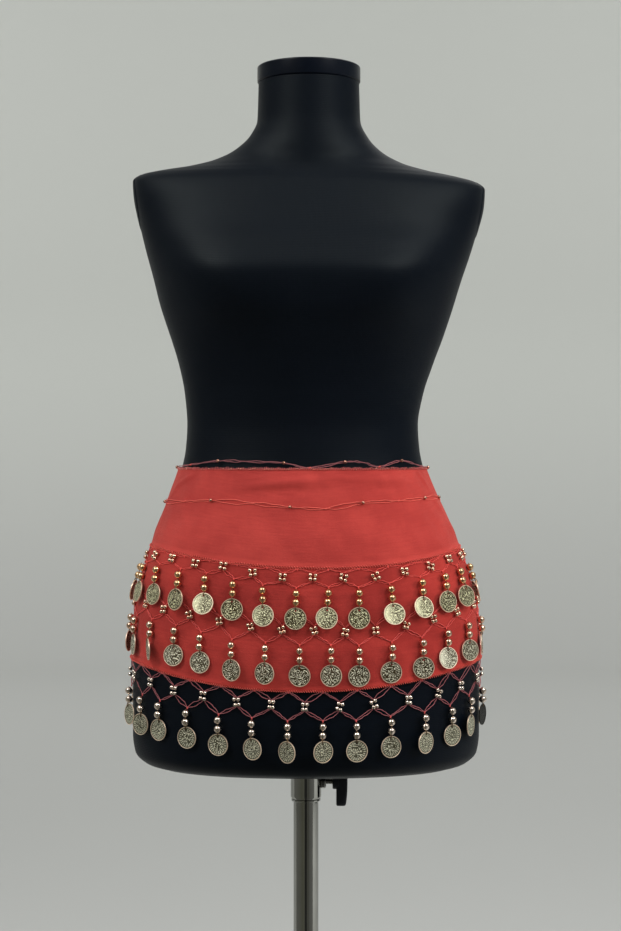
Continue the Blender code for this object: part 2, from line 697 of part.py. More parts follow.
def add_stand():
    """The round foot, the pole in its socket, and the sleeve that slides on the pole."""
    add_turned(
        "foot",
        (
            (FOOT_RADIUS, 0.0),
            (FOOT_RADIUS, FOOT_THICKNESS - FOOT_EDGE),
            (FOOT_RADIUS - FOOT_EDGE, FOOT_THICKNESS),
            (HUB_RADIUS + FOOT_EDGE, FOOT_THICKNESS),
            (HUB_RADIUS, FOOT_THICKNESS + FOOT_EDGE),
            (HUB_RADIUS, HUB_TOP - FOOT_EDGE),
            (HUB_RADIUS - FOOT_EDGE, HUB_TOP),
            (POLE_RADIUS + POLE_SEAT, HUB_TOP),
            (POLE_RADIUS + POLE_SEAT, HUB_TOP - SOCKET_DEPTH),
        ),
        "chrome",
    )
    pole_low = HUB_TOP - SOCKET_DEPTH + SEAM_GAP
    pole_high = WAIST_Z + POLE_TOP_RISE
    add_turned("pole", ((POLE_RADIUS, pole_low), (POLE_RADIUS, pole_high)), "chrome")
    collar_high = collar_top()
    lip_top = collar_high - COLLAR_LENGTH - SEAM_GAP
    sleeve_top = collar_high - 2.0
    add_turned(
        "height_sleeve",
        (
            (SLEEVE_INNER, lip_top - SLEEVE_LIP_HEIGHT),
            (SLEEVE_LIP, lip_top - SLEEVE_LIP_HEIGHT),
            (SLEEVE_LIP, lip_top),
            (SLEEVE_OUTER, lip_top),
            (SLEEVE_OUTER, sleeve_top),
            (SLEEVE_INNER, sleeve_top),
        ),
        "chrome",
        closed=True,
    )


def collar_top():
    """The height of the collar's flange, which is screwed up into the recess."""
    return WAIST_Z + FORM_BOTTOM_RISE + RECESS_DEPTH - SEAM_GAP


def add_clamp():
    """The collar under the form, with a boss for the clamp screw, and the wing knob."""
    high = collar_top()
    axis_z = WAIST_Z + FORM_BOTTOM_RISE - SCREW_DROP
    collar = add_turned(
        "clamp_collar",
        (
            (COLLAR_INNER, high - COLLAR_LENGTH),
            (COLLAR_OUTER - 0.8, high - COLLAR_LENGTH),
            (COLLAR_OUTER, high - COLLAR_LENGTH + 1.2),
            (COLLAR_OUTER, high - FLANGE_THICKNESS),
            (FLANGE_RADIUS, high - FLANGE_THICKNESS),
            (FLANGE_RADIUS, high),
            (COLLAR_INNER, high),
        ),
        "chrome",
        closed=True,
    )
    boss = add_rod("boss", BOSS_RADIUS, COLLAR_INNER + 0.6, BOSS_REACH, axis_z)
    hole = add_rod("screw_hole", SCREW_HOLE_RADIUS, 5.0, BOSS_REACH + 5.0, axis_z)
    combine(collar, boss, "UNION")
    combine(collar, hole, "DIFFERENCE")
    knob = wing(axis_z)
    screw_tip = SLEEVE_OUTER + SEAM_GAP
    shank = add_rod("shank", SCREW_RADIUS, screw_tip, WING_HUB_START + 2.0, axis_z, 12)
    hub = add_rod("hub", WING_HUB_RADIUS, WING_HUB_START, WING_START + 2.0, axis_z)
    combine(hub, shank, "UNION")
    combine(knob, hub, "UNION")


def wing(axis_z):
    """The upright bar of the wing knob, with rounded ends and a rounded outer side."""
    outline = []
    for way in (1, -1):
        for k in range(5):
            angle = math.pi * (k / 4 - 0.5)
            middle = WING_HALF_LENGTH - WING_HALF_WIDTH
            outline.append((
                way * WING_HALF_WIDTH * math.sin(angle),
                way * (middle + WING_HALF_WIDTH * math.cos(angle)),
            ))
    rings = []
    for reach, inset in ((WING_START, 0.0), (WING_END - WING_ROUND, 0.0), (WING_END, 1.4)):
        share = 1 - inset / WING_HALF_WIDTH
        length = 1 - inset / WING_HALF_LENGTH
        rings.append([(reach, y * share, axis_z + z * length) for y, z in outline])
    return add_rings("clamp_knob", rings, "black_plastic")


def main():
    for old in list(bpy.data.objects):
        bpy.data.objects.remove(old)
    add_stand()
    add_form()
    add_clamp()
    add_cloth()
    add_nets()
    add_knot()


main()
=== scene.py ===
"""Finish of a belly dance hip scarf on a black dress form with a chrome pole stand.

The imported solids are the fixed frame. Round it this script makes the cloth, its beaded edge
and thread chains, the knotted net with its bead clusters, beads and coins, the jersey-covered
form and the stand, then a plain pale stage.

A turn is the place round the form: 0 at the front, positive to +X, 0.5 at the middle of the
back. A rise is the height above the waist line and a lift the distance out from the form.
Tables are in millimetres, and everything that reaches Blender is in metres.
"""

import json
import math

import bpy
import numpy as np
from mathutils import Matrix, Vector

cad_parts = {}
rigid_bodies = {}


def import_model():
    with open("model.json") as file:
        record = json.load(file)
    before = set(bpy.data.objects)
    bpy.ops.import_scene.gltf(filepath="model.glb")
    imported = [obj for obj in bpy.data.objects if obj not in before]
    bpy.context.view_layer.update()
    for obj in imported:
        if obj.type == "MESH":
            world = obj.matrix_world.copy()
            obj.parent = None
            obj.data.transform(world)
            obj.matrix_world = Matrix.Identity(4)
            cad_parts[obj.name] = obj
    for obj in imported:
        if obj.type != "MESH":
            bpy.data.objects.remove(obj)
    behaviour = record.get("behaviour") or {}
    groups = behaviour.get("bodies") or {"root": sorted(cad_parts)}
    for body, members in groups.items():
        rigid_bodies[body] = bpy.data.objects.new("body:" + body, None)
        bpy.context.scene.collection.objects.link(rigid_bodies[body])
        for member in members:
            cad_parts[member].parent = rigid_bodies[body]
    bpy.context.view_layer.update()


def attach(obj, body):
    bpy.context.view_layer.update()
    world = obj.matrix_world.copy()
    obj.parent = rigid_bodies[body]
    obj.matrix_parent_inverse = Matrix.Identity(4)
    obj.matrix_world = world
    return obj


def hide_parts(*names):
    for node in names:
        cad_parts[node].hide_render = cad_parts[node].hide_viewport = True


bl_info = {
    "name": "Coin hip scarf on a dress form",
    "version": (1, 0, 0),
    "blender": (4, 5, 0),
    "location": "3D View > Sidebar > Hip Scarf",
    "description": "Finishes a netted, coin-fringed hip scarf and the form that wears it",
    "category": "Object",
}

for leftover in list(bpy.data.objects):
    bpy.data.objects.remove(leftover)
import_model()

MM = 0.001
TAU = math.tau

# The form: heights, and one row for each section in millimetres, as in the solids.
WAIST_Z = 870.0
FORM_BOTTOM = WAIST_Z - 312.0
SECTION_COLUMNS = ("rise", "half_width", "front", "back", "shift", "square")
SECTIONS = np.array((
    (-312, 150, 86, 92, 0, 2.1), (-307, 166, 99, 106, 0, 2.1), (-296, 177, 106.5, 114, 0, 2.1),
    (-277, 179.6, 109, 118, 0, 2.1), (-197, 179.4, 110, 120, 0, 2.1),
    (-160, 177.3, 109, 119.5, 0, 2.1), (-130, 172, 107, 117, 0, 2.1),
    (-104, 165.3, 104, 113, -0.5, 2.1), (-80, 156.6, 100, 107.5, -1, 2.1),
    (-55, 146, 95, 101, -2, 2.1), (-30, 135.5, 90, 94, -3, 2.1), (-5, 126, 85, 87.5, -3.5, 2.1),
    (18, 121.3, 81.5, 83, -3.5, 2.1), (42, 119.8, 79.5, 80, -3.5, 2.1),
    (74, 123.8, 81.5, 80, -2, 2.1), (105, 132, 87, 84, 0, 2.15), (136, 142.5, 96, 89, 1, 2.2),
    (165, 152, 104, 93, 1, 2.25), (192, 159.5, 106, 95, 1.5, 2.3), (220, 168, 98, 95, 2, 2.35),
    (247, 175.2, 85, 93, 2.5, 2.4), (274, 181, 73, 88, 3, 2.4), (290, 182, 66, 83, 3, 2.25),
    (297, 175, 62, 78, 3, 2.05), (301.5, 159, 60, 75, 3, 1.85), (307, 129, 58.5, 72, 3, 1.75),
    (315, 99, 57.5, 69, 2.5, 1.7), (326, 77, 56.5, 65, 2.5, 1.8), (341, 61.5, 55, 59.5, 3, 1.9),
    (358, 53.6, 53.6, 54.5, 3, 2), (397, 52.3, 52.3, 52.3, 3, 2),
))
SHOULDER_LEAN, LEAN_LOW, LEAN_FULL, LEAN_END = 0.026, 150.0, 270.0, 400.0
BUST_HEIGHT, BUST_RISE, BUST_SPREAD, BUST_TURN, BUST_WIDTH = 11.0, 186.0, 42.0, 0.092, 0.062
FORM_AROUND, FORM_UP = 232, 236
UNDERSIDE_SHARES, NECK_TOP_SHARES = (0.5, 0.93), (0.04, 1.0)
BORE_RADIUS, BORE_TOP_RISE = 14.6, 150.0
RECESS_RADIUS, RECESS_DEPTH = 52.0, 16.0
PLATE_TURN, PLATE_RISE, PLATE_HALF_TURN, PLATE_HALF_RISE = 0.25, 270.0, 0.034, 31.0
PLATE_PROUD = 0.9
CAP_RADIUS, CAP_HEIGHT, SEAM_GAP = 53.6, 17.0, 0.3

# Cloth lines, as in the solids.
TOP_RISE = -4.0
OVERLAY_RISE, OVERLAY_SAG, OVERLAY_SAG_TURN = -83.5, 18.0, 0.018
HEM_RISE, HEM_SAG, HEM_BACK_LIFT = -198.0, 24.0, 4.0
LAP_LIFT, LAP_TURN, LAP_RAMP_START, LAP_RAMP_END = 2.6, 0.042, 0.435, 0.49
PANEL_LIFT, OVERLAY_LIFT, BARE_LIFT = 2.0, 3.4, 0.9
ROLLED_HEM, ROLL_HEIGHT, HEM_EASE = 4.5, 0.35, 16.0
CLOTH_AROUND, PANEL_DOWN, OVERLAY_DOWN = 400, 76, 52
CUT_LEVEL = -100.0

# Soft folds: the middle, half its length round the form, half its width up and down, its
# height (below zero for a trough), and how much it climbs from end to end.
FOLD_COLUMNS = ("turn", "rise", "half_length", "half_width", "height", "climb")
OVERLAY_FOLDS = (
    (-0.180, -17, 0.036, 3.8, 1.9, 19), (-0.205, -30, 0.022, 4.4, 1.3, 22),
    (-0.025, -18, 0.075, 5, 2.4, 10), (-0.020, -27, 0.085, 4.6, -1.7, 8),
    (-0.045, -12, 0.050, 3, 0.9, 9), (0.050, -13.5, 0.045, 3.2, 1, -5),
    (0.092, -25, 0.030, 3.6, -1.2, 6), (0.110, -15, 0.060, 4.6, 1.3, -6),
    (0.187, -16, 0.016, 5, 1.6, -22), (0.205, -44, 0.020, 6, 1.1, -26),
    (0.000, -52, 0.150, 9, -0.7, -3), (0.040, -72, 0.140, 9, 0.8, -5),
    (-0.130, -62, 0.070, 8, 0.7, 10), (0.215, -62, 0.050, 8, 1, -20),
    (0.330, -30, 0.100, 7, 1.5, 26), (0.370, -46, 0.090, 7, 2, 36),
    (0.395, -66, 0.070, 7.5, 1.8, 46), (0.420, -34, 0.060, 4.5, -0.9, 30),
    (-0.340, -32, 0.090, 7, 1.6, -28), (-0.385, -46, 0.080, 7, 2, -38),
    (-0.405, -68, 0.060, 7.5, 1.8, -48), (-0.425, -36, 0.050, 4.5, -0.9, -32),
)
PANEL_FOLDS = (
    (-0.190, -150, 0.060, 5, 0.5, 6), (-0.150, -168, 0.090, 6, 0.5, -4),
    (0.030, -140, 0.160, 9, 0.5, 4), (0.120, -186, 0.110, 7, 0.5, 8),
    (-0.060, -196, 0.120, 7, 0.5, -6), (0.300, -150, 0.120, 8, 0.8, 12),
    (-0.320, -160, 0.110, 8, 0.8, -12), (0.430, -170, 0.070, 9, 0.9, 20),
    (-0.430, -150, 0.060, 9, 0.9, -20),
)
RIPPLE_HEIGHT, RIPPLE_LENGTH = 0.22, 31.0

# Edges: points in a binding loop, the step between seed beads and the share left out.
LOOP_STEPS, SEED_PITCH, SEED_GAPS = 7, 2.4, 0.55

# Thread chains with small beads: place, rise, and whether a bead or a knot sits there.
TOP_CHAIN = (
    (-0.420, -2.5, "knot"), (-0.370, 3, "bead"), (-0.310, -2.5, "knot"), (-0.250, -3, "bead"),
    (-0.173, 0.2, "knot"), (-0.114, 4, "bead"), (-0.070, 3.4, ""), (-0.021, 2, "bead"),
    (0.008, -3, "knot"), (0.052, 3, "bead"), (0.078, 2.4, ""), (0.100, -2, "knot"),
    (0.143, 4.2, "bead"), (0.190, -0.8, ""), (0.232, -3.2, "bead"), (0.290, -2.4, "knot"),
    (0.345, 3.2, "bead"), (0.400, -2.6, "knot"), (0.450, 2.6, "bead"),
)
LOW_CHAIN = (
    (-0.430, -36, "bead"), (-0.375, -41, "knot"), (-0.310, -37, "bead"), (-0.238, -39, "bead"),
    (-0.157, -37.5, "knot"), (-0.110, -36, "bead"), (-0.054, -38.5, "knot"),
    (-0.013, -42, "bead"), (0.023, -43.5, "knot"), (0.066, -38, "bead"), (0.116, -36.5, "knot"),
    (0.167, -34.5, "bead"), (0.222, -34.5, "bead"), (0.280, -39, "knot"), (0.335, -36, "bead"),
    (0.390, -40, "knot"), (0.445, -36, "bead"),
)
CHAIN_STEPS = 14

# Net rows, as in the solids.
# In the row table, dusty is the thread's share of the dusty rose painted sheen.
ROW_COLUMNS = (
    "name", "count", "phase", "level", "anchor", "cluster", "knot", "bead_lift", "coin_clear",
    "thread", "bow", "dusty", "wide", "tall", "beads", "small_beads", "metal",
)
ROWS = (
    ("upper", 29, -0.0085, -125, 0.8, 9.5, 18.5, 6.2, 5.9, 1.0, 0.95, 0.0, 2.75, 2.25,
     "gold_beads", "warm_beads", "gold_coins"),
    ("middle", 29, -0.0085, -175, 43, 62, 78, 5.9, 3.1, 1.0, 1.05, 0.1, 2.2, 2.3,
     "warm_beads", "warm_beads", "silver_coins"),
    ("lower", 28, 0.5 / 28, -225, 0.6, 16, 33, 4.7, 1.6, 0.95, 1.45, 0.9, 2.1, 2.75,
     "pale_beads", "pale_beads", "nickel_coins"),
)
LAP_CLEAR_TURN = 0.008

# How each row hangs at the front, cell by cell from FIRST_CELL. For a drop: how far its knot
# sits aside and up from an even spacing, how far its coin swings aside, how the coin turns
# about its thread, rolls about its hole and tips to face up, and its wear and painted light:
# how worn it is, with a painted glare on the highest values, and a painted shade that makes a
# coin below 0 black as one hanging in shadow. For a cluster: how far it sits aside and up.
# Millimetres and degrees.
FIRST_CELL = -7
DROPS = {
    "upper": (
        (4, 2.5, -3, 9, 0, 0, 0.1), (-1.5, 3.5, 4.5, -1, 0, 0, 0.1), (-2, 5, 4.5, 0, 0, 0, 0.15),
        (-1, 5, 3.5, 12, 3, 0, 0.25), (-1, 5.5, 3, -4, 0, 11, 1), (-2, 4, 2, -8, 0, 1, 0.5),
        (-3.5, 1, 2.5, 7, 0, 6, 0.75), (-1.5, -0.5, -0.5, 3, 0, 0, 0.3),
        (-1, 0.5, -3, -5, 0, 4, 0.7), (-2.5, -0.5, -2, 2, 0, 0, 0.3),
        (-1.5, 1, -0.5, 3, 3, 9, 0.9), (2.5, 3.5, -4, -1, -3, 10, 0.85),
        (1, 4, -4.5, 4, -3, 0, 0.2), (-4, 4, -5, 15, -4, 0, 0.15), (-6, 4, -3, -12, 0, 0, 0.1),
    ),
    "middle": (
        (-4, 9, 4, 11, 0, 0, 0.3), (6, 9.5, -0.5, 9, 0, 0, 0.3), (3, 9.5, 4, 33, 0, 0, 0.3),
        (3.5, 9, 0, -7, 0, 5, 0.6), (0, 7, 0, 1, 0, 2, 0.6), (0, 4, 1, 20, 0, 0, 0.3),
        (1, 4, 0, 22, 0, 1, 0.4), (2, 3, 0, 10, 0, -2, 0.45), (0, 3.5, 0, 18, 0, 2, 0.5),
        (-5, 2, 0, 2, 0, -1, 0.35), (-4, 3, -1.5, 5, 0, -3, 0.3), (-4, 3.5, -1, 16, 0, 0, 0.4),
        (-7, 7.5, -1, 7, 0, 7, 0.85), (-9, 9, -1.5, 16, 0, 2, 0.15), (-9, 9.5, -1, -8, 0, 0, 0.2),
    ),
    "lower": (
        (2, 5, 4, -18, 18, 0, 0.2), (3, 2.5, 2.5, -13, -9, 0, 0.25),
        (-2.5, 4.5, -1, 1, -6, 0, 0.2), (-2.5, 5, -1.5, 3, 10, 0, 0.45),
        (-2.5, 4.5, 0, 7, 0, 0, 0.25), (-2.5, 5, 0.5, 24, 9, 0, 0.25),
        (-1, 4, 0.5, 38, -7, 0, 0.2), (0, 4, -1, -26, 8, 0, 0.25), (-1, 2.5, 0.5, -4, 0, 1, 0.55),
        (0, 2.5, 0, -7, 0, 0, 0.3), (3, 0.5, -1, -19, 2, 0, 0.15), (0.5, -0.5, 2, 4, 0, 0, 0.15),
        (-3.5, 1.5, -1.5, -13, 0, 0, 0.1), (-6, 5, 3, 12, -8, 0, -0.5),
    ),
}
CLUSTERS = {
    "upper": (
        (-3, 0.5), (2, 3), (0.5, 4.5), (0.5, 4), (1, 5.5), (1.5, 2.5), (0.5, 0), (-0.5, 1),
        (-1, 0.5), (0.5, 0), (1, 2), (1.5, 2.5), (0, 5), (-4, 3), (-1, 2.5),
    ),
    "middle": (
        (3, 6), (6, 6.5), (2.5, 6), (2.5, 5.5), (3, 4), (2.5, 2), (1, 1), (0, 1.5), (-2, -0.5),
        (-4, -0.5), (-5, 1.5), (-6, 3), (-7, 4.5), (-7, 6), (-6, 6),
    ),
    "lower": (
        (4, 1.5), (2, 2), (-1, 1.5), (-1.5, 3), (-0.5, 2), (0, 2.5), (-1, 1), (-0.5, 0.5),
        (-0.5, 0), (1.5, -1), (1.5, -1.5), (-2.5, -1.5), (-5, -0.5),
    ),
}

# Every drop: the sway and wear of coins that the tables leave out, the heights of its parts,
# the circles of a coin from hole to rim, and the places of a cluster's beads.
COIN_SWAY, SWAY_STEP, PLAIN_WEAR = 6.0, 2.4, 0.35
CLUSTER_PORT, BEAD_FALLS, DROP_REACH, STRAND_STEPS = 4.3, (5.7, 14.4), 30.0, 12
COIN_TOP, HOLE_INSET, WIRE_START, WIRE_RADIUS, SHELF_RISE = 19.2, 3.0, 1.5, 0.42, -262.0
COIN_CIRCLES = (0.0, 0.05, 0.2, 0.36, 0.52, 0.68, 0.8, 0.9, 0.94, 0.985, 1.0)
BEAD_SPOTS = ((-1.0, 1.0), (1.0, 1.0), (-0.85, -1.0), (0.85, -1.0))

# Stand, in millimetres. A wing ring is a share of the bar's thickness and the inset of its
# outline there.
FOOT_RADIUS, FOOT_THICKNESS, HUB_RADIUS, HUB_TOP, SOCKET_DEPTH = 150.0, 9.0, 21.0, 34.0, 25.0
POLE_RADIUS, POLE_TOP_RISE, POLE_SEAT = 13.0, -30.0, 0.3
SLEEVE_INNER, SLEEVE_OUTER, SLEEVE_LIP, SLEEVE_LIP_HEIGHT = 13.4, 14.3, 15.2, 2.2
COLLAR_INNER, COLLAR_OUTER, COLLAR_LENGTH = 14.6, 15.9, 49.4
COLLAR_TOP = FORM_BOTTOM + RECESS_DEPTH - SEAM_GAP
FLANGE_RADIUS, FLANGE_THICKNESS = 25.0, 3.0
SCREW_AXIS, SCREW_RADIUS, SCREW_PITCH = (0.0, 0.0, FORM_BOTTOM - 16.5), 3.0, 1.0
BOSS_RADIUS, BOSS_REACH = 7.2, 20.8
WING_HUB_RADIUS, WING_HUB_START, WING_START, WING_END = 7.8, 27.6, 31.5, 43.2
WING_HALF_LENGTH, WING_HALF_WIDTH = 25.5, 6.5
WING_RINGS = (
    (0, 6.5), (0, 1.2), (0.06, 0.3), (0.16, 0), (0.8, 0), (0.93, 0.6), (1, 2.0), (1, 6.5),
)

# Knot and tails, in millimetres.
KNOT_TURN, KNOT_RISE, KNOT_HALF_SIZE = 0.512, -15.0, (19.0, 9.0, 13.0)
TAIL_LENGTH, TAIL_TOP_WIDTH, TAIL_END_WIDTH, TAIL_SPREAD = 49.0, 11.0, 40.0, 19.0
TAIL_POINT, TAIL_LIFT, TAIL_WAVES, TAIL_WAVE_HEIGHT = 7.0, 4.6, 2.0, 2.2

# Camera: level, at the waist line, a little to +X of the pole.
CAMERA_PLACE = (0.0047, -2.0, 0.870)
CAMERA_LENS = 74.36

# Patterns of cloth and thread, in metres.
WEAVE_PITCH, TWIST_PITCH, STITCH_WIDTH, STITCH_HEIGHT = 0.00062, 0.0016, 0.0024, 0.0018

# Stage: the backdrop in millimetres, and in metres each lamp's place, aim and size, with the
# power that it is set by, its share of that, and whether it shows in gloss. Then the dim card:
# the degrees that it spans, its reach and height row by row, and the colours of its bands.
BACKDROP_TOP, FLOOR_BEND = 6500.0, 1800.0
LAMPS = (
    ("key_lamp_left", (-1.8, -1.5, 2.95), (0, 0, 0.95), 1.1, "key", 0.9, True),
    ("key_lamp_right", (1.75, -1.6, 2.95), (0, 0, 0.95), 1.1, "key", 0.98, True),
    ("side_lamp_left", (-3.3, -0.5, 1.7), (0, 0, 0.8), 1.3, "fill", 2.6, False),
    ("side_lamp_right", (3.2, -0.7, 1.8), (0, 0, 0.8), 1.3, "fill", 6.6, False),
    ("back_lamp", (0.8, 3.0, 3.2), (0, 0, 0.9), 2.2, "fill", 1.0, True),
    ("wall_lamp_left", (-2.4, 4.2, 3.6), (-1.8, 8.0, 1.0), 1.8, "wall", 1.0, True),
    ("wall_lamp_right", (2.4, 4.2, 3.6), (1.8, 8.0, 1.0), 1.8, "wall", 1.0, True),
)
CARD_ARC = (-100, 66)
CARD_PROFILE = (
    (0.16, 0.01), (1.0, 0.01), (2.2, 0.01), (3.0, 0.01), (3.1, 0.1), (3.1, 1.0), (3.1, 2.2),
    (3.1, 3.2), (3.1, 4.2), (2.9, 4.5), (2.2, 4.7), (1.2, 4.8), (0.5, 4.8),
)
CARD_START, CARD_SPAN = 1.745, 2.827
CARD_BANDS = (
    (0.0, (0.17, 0.17, 0.155)), (0.25, (0.135, 0.135, 0.115)), (0.42, (0.105, 0.105, 0.075)),
    (0.535, (0.13, 0.13, 0.10)), (0.552, (0.005, 0.005, 0.003)), (0.665, (0.005, 0.005, 0.003)),
    (0.68, (0.11, 0.11, 0.095)), (0.74, (0.07, 0.07, 0.055)), (0.80, (0.13, 0.13, 0.12)),
    (1.0, (0.2, 0.2, 0.19)),
)


# ---------------------------------------------------------------- shapes on the form


def eased(share):
    """A smooth step: 3s^2 - 2s^3 of the share held between 0 and 1."""
    share = np.clip(share, 0.0, 1.0)
    return share * share * (3.0 - 2.0 * share)


def unit(vectors):
    """Vectors divided by their length."""
    return vectors / np.linalg.norm(vectors, axis=-1, keepdims=True)


def swung(one, other, angle):
    """Two directions at right angles, turned together in their plane."""
    cos, sin = np.cos(angle), np.sin(angle)
    return one * cos + other * sin, other * cos - one * sin


def column_curve(column):
    """One column of SECTIONS as heights, values and slopes. Each slope is the harmonic mean
    of the straight slopes on its two sides, or 0 where they differ in sign."""
    x, y = SECTIONS[:, 0], SECTIONS[:, SECTION_COLUMNS.index(column)]
    step = np.diff(y) / np.diff(x)
    slope = np.zeros(len(x))
    same = step[:-1] * step[1:] > 0
    slope[1:-1][same] = 2 * (step[:-1] * step[1:])[same] / (step[:-1] + step[1:])[same]
    slope[0], slope[-1] = step[0], step[-1]
    return x, y, slope


CURVES = {column: column_curve(column) for column in SECTION_COLUMNS[1:]}


def section(column, rise):
    """A column's value at any rise: the cubic through two rows that keeps their slopes."""
    x, y, slope = CURVES[column]
    rise = np.clip(rise, x[0], x[-1])
    i = np.clip(np.searchsorted(x, rise) - 1, 0, len(x) - 2)
    width = x[i + 1] - x[i]
    s = (rise - x[i]) / width
    return (
        y[i] * (1 + 2 * s) * (1 - s) ** 2
        + y[i + 1] * s * s * (3 - 2 * s)
        + slope[i] * width * s * (1 - s) ** 2
        + slope[i + 1] * width * s * s * (s - 1)
    )


def skin(turn, rise):
    """A point of the form: x = width * |sin|^p and y = -depth * |cos|^p of the turn, with the
    signs kept, plus two soft bells for the bust and a lean of the shoulders."""
    turn, rise = np.broadcast_arrays(np.asarray(turn, float), np.asarray(rise, float))
    angle = TAU * turn
    power = 2.0 / section("square", rise)
    across, along = np.sin(angle), np.cos(angle)
    depth = np.where(along > 0, section("front", rise), section("back", rise))
    x = section("half_width", rise) * np.sign(across) * np.abs(across) ** power
    y = -depth * np.sign(along) * np.abs(along) ** power
    side = np.exp(-(((np.abs(turn) - BUST_TURN) / BUST_WIDTH) ** 2))
    y = y - BUST_HEIGHT * side * np.exp(-(((rise - BUST_RISE) / BUST_SPREAD) ** 2))
    lean = eased((rise - LEAN_LOW) / (LEAN_FULL - LEAN_LOW))
    lean = lean * (1 - eased((rise - LEAN_FULL) / (LEAN_END - LEAN_FULL)))
    z = WAIST_Z + rise - SHOULDER_LEAN * lean * x
    return np.stack([x + section("shift", rise), y, z], axis=-1)


def outward(turn, rise):
    """The form's unit normal: the step round crossed with the step up."""
    around = skin(turn + 0.001, rise) - skin(turn - 0.001, rise)
    up = skin(turn, rise + 0.5) - skin(turn, rise - 0.5)
    return unit(np.cross(around, up))


def lap_lift(turn):
    """How far the scarf's outer end rises to lie on its inner end."""
    return LAP_LIFT * eased((turn - LAP_RAMP_START) / (LAP_RAMP_END - LAP_RAMP_START))


def placed(turn, rise, lift):
    """A point on the form moved out along its normal, and over the lap."""
    turn, rise = np.broadcast_arrays(np.asarray(turn, float), np.asarray(rise, float))
    height = np.broadcast_to(np.asarray(lift + lap_lift(turn), float), turn.shape)
    return skin(turn, rise) + outward(turn, rise) * height[..., None]


def top_line(turn):
    """The upper edge is level."""
    return np.full(np.shape(turn), TOP_RISE)


def overlay_line(turn):
    """The overlay's hem: a squared cosine sag over the front half."""
    front = np.maximum(np.cos(TAU * (turn - OVERLAY_SAG_TURN)), 0.0)
    return OVERLAY_RISE - OVERLAY_SAG * front**2


def hem_line(turn):
    """The panel's hem: a squared cosine, low at the front and drawn up at the back."""
    along = np.cos(TAU * turn)
    return HEM_RISE - np.where(along > 0, HEM_SAG, -HEM_BACK_LIFT) * along**2


def fold_height(folds, turn, rise):
    """The sum of soft folds: each a bell across it times a squared cosine along it."""
    total = np.zeros(np.broadcast(turn, rise).shape)
    for row in folds:
        fold = dict(zip(FOLD_COLUMNS, row))
        along = (turn - fold["turn"]) / fold["half_length"]
        middle = fold["rise"] + 0.5 * fold["climb"] * along
        bell = np.exp(-(((rise - middle) / fold["half_width"]) ** 2))
        total += fold["height"] * bell * np.cos(np.clip(along, -1, 1) * math.pi / 2) ** 2
    return total


def ripple(turn, rise):
    """The cloth's faint unevenness: three slanting sine waves added up."""
    wave = np.sin(TAU * (turn * 30.0 + rise / 83.0))
    wave = wave + 0.7 * np.sin(TAU * (turn * 19.0 - rise / 47.0 + 0.3))
    wave = wave + 0.5 * np.sin(TAU * (turn * 7.0 + rise / RIPPLE_LENGTH + 0.6))
    return RIPPLE_HEIGHT * wave


def panel_lift(turn, rise):
    """The outer face of the panel: its base, folds, ripple and rolled hem."""
    roll = 1 - eased((rise - hem_line(turn)) / ROLLED_HEM)
    folds = fold_height(PANEL_FOLDS, turn, rise)
    return PANEL_LIFT + folds + ripple(turn, rise) + ROLL_HEIGHT * roll


def overlay_lift(turn, rise):
    """The outer face of the overlay, which lies on the panel at its hem."""
    above = rise - overlay_line(turn)
    roll = 1 - eased(above / ROLLED_HEM)
    edge = eased((TOP_RISE - rise) / 6.0)
    folds = fold_height(OVERLAY_FOLDS, turn, rise) * (0.25 + 0.75 * edge)
    free = OVERLAY_LIFT + folds + ripple(turn, rise + 40.0) * edge
    close = panel_lift(turn, rise) + 0.45 + 0.5 * ROLL_HEIGHT * roll
    share = eased(above / HEM_EASE)
    return close * (1 - share) + np.maximum(free, close) * share


def cloth_lift(turn, rise):
    """The outer face of whatever lies there: overlay, panel, or the bare form below."""
    over = eased((rise - overlay_line(turn) + 0.5) / 2.0)
    under = eased((rise - hem_line(turn) + 0.5) / 2.0)
    lift = panel_lift(turn, rise) * under + BARE_LIFT * (1 - under)
    return lift * (1 - over) + overlay_lift(turn, rise) * over


# ---------------------------------------------------------------- meshes from arrays


def joined(grid, around, along):
    """A grid of (..., rows, columns, parts) with its first column or row repeated at its end."""
    if around:
        grid = np.concatenate([grid, grid[..., :1, :]], axis=-2)
    if along:
        grid = np.concatenate([grid, grid[..., :1, :, :]], axis=-3)
    return grid


def corners(grid):
    """The four corners of each cell of each grid, in the order that makes it face outwards."""
    cells = (grid[:, :-1, :-1], grid[:, :-1, 1:], grid[:, 1:, 1:], grid[:, 1:, :-1])
    return np.stack(cells, axis=-2).reshape(len(grid), -1, 4, grid.shape[-1])


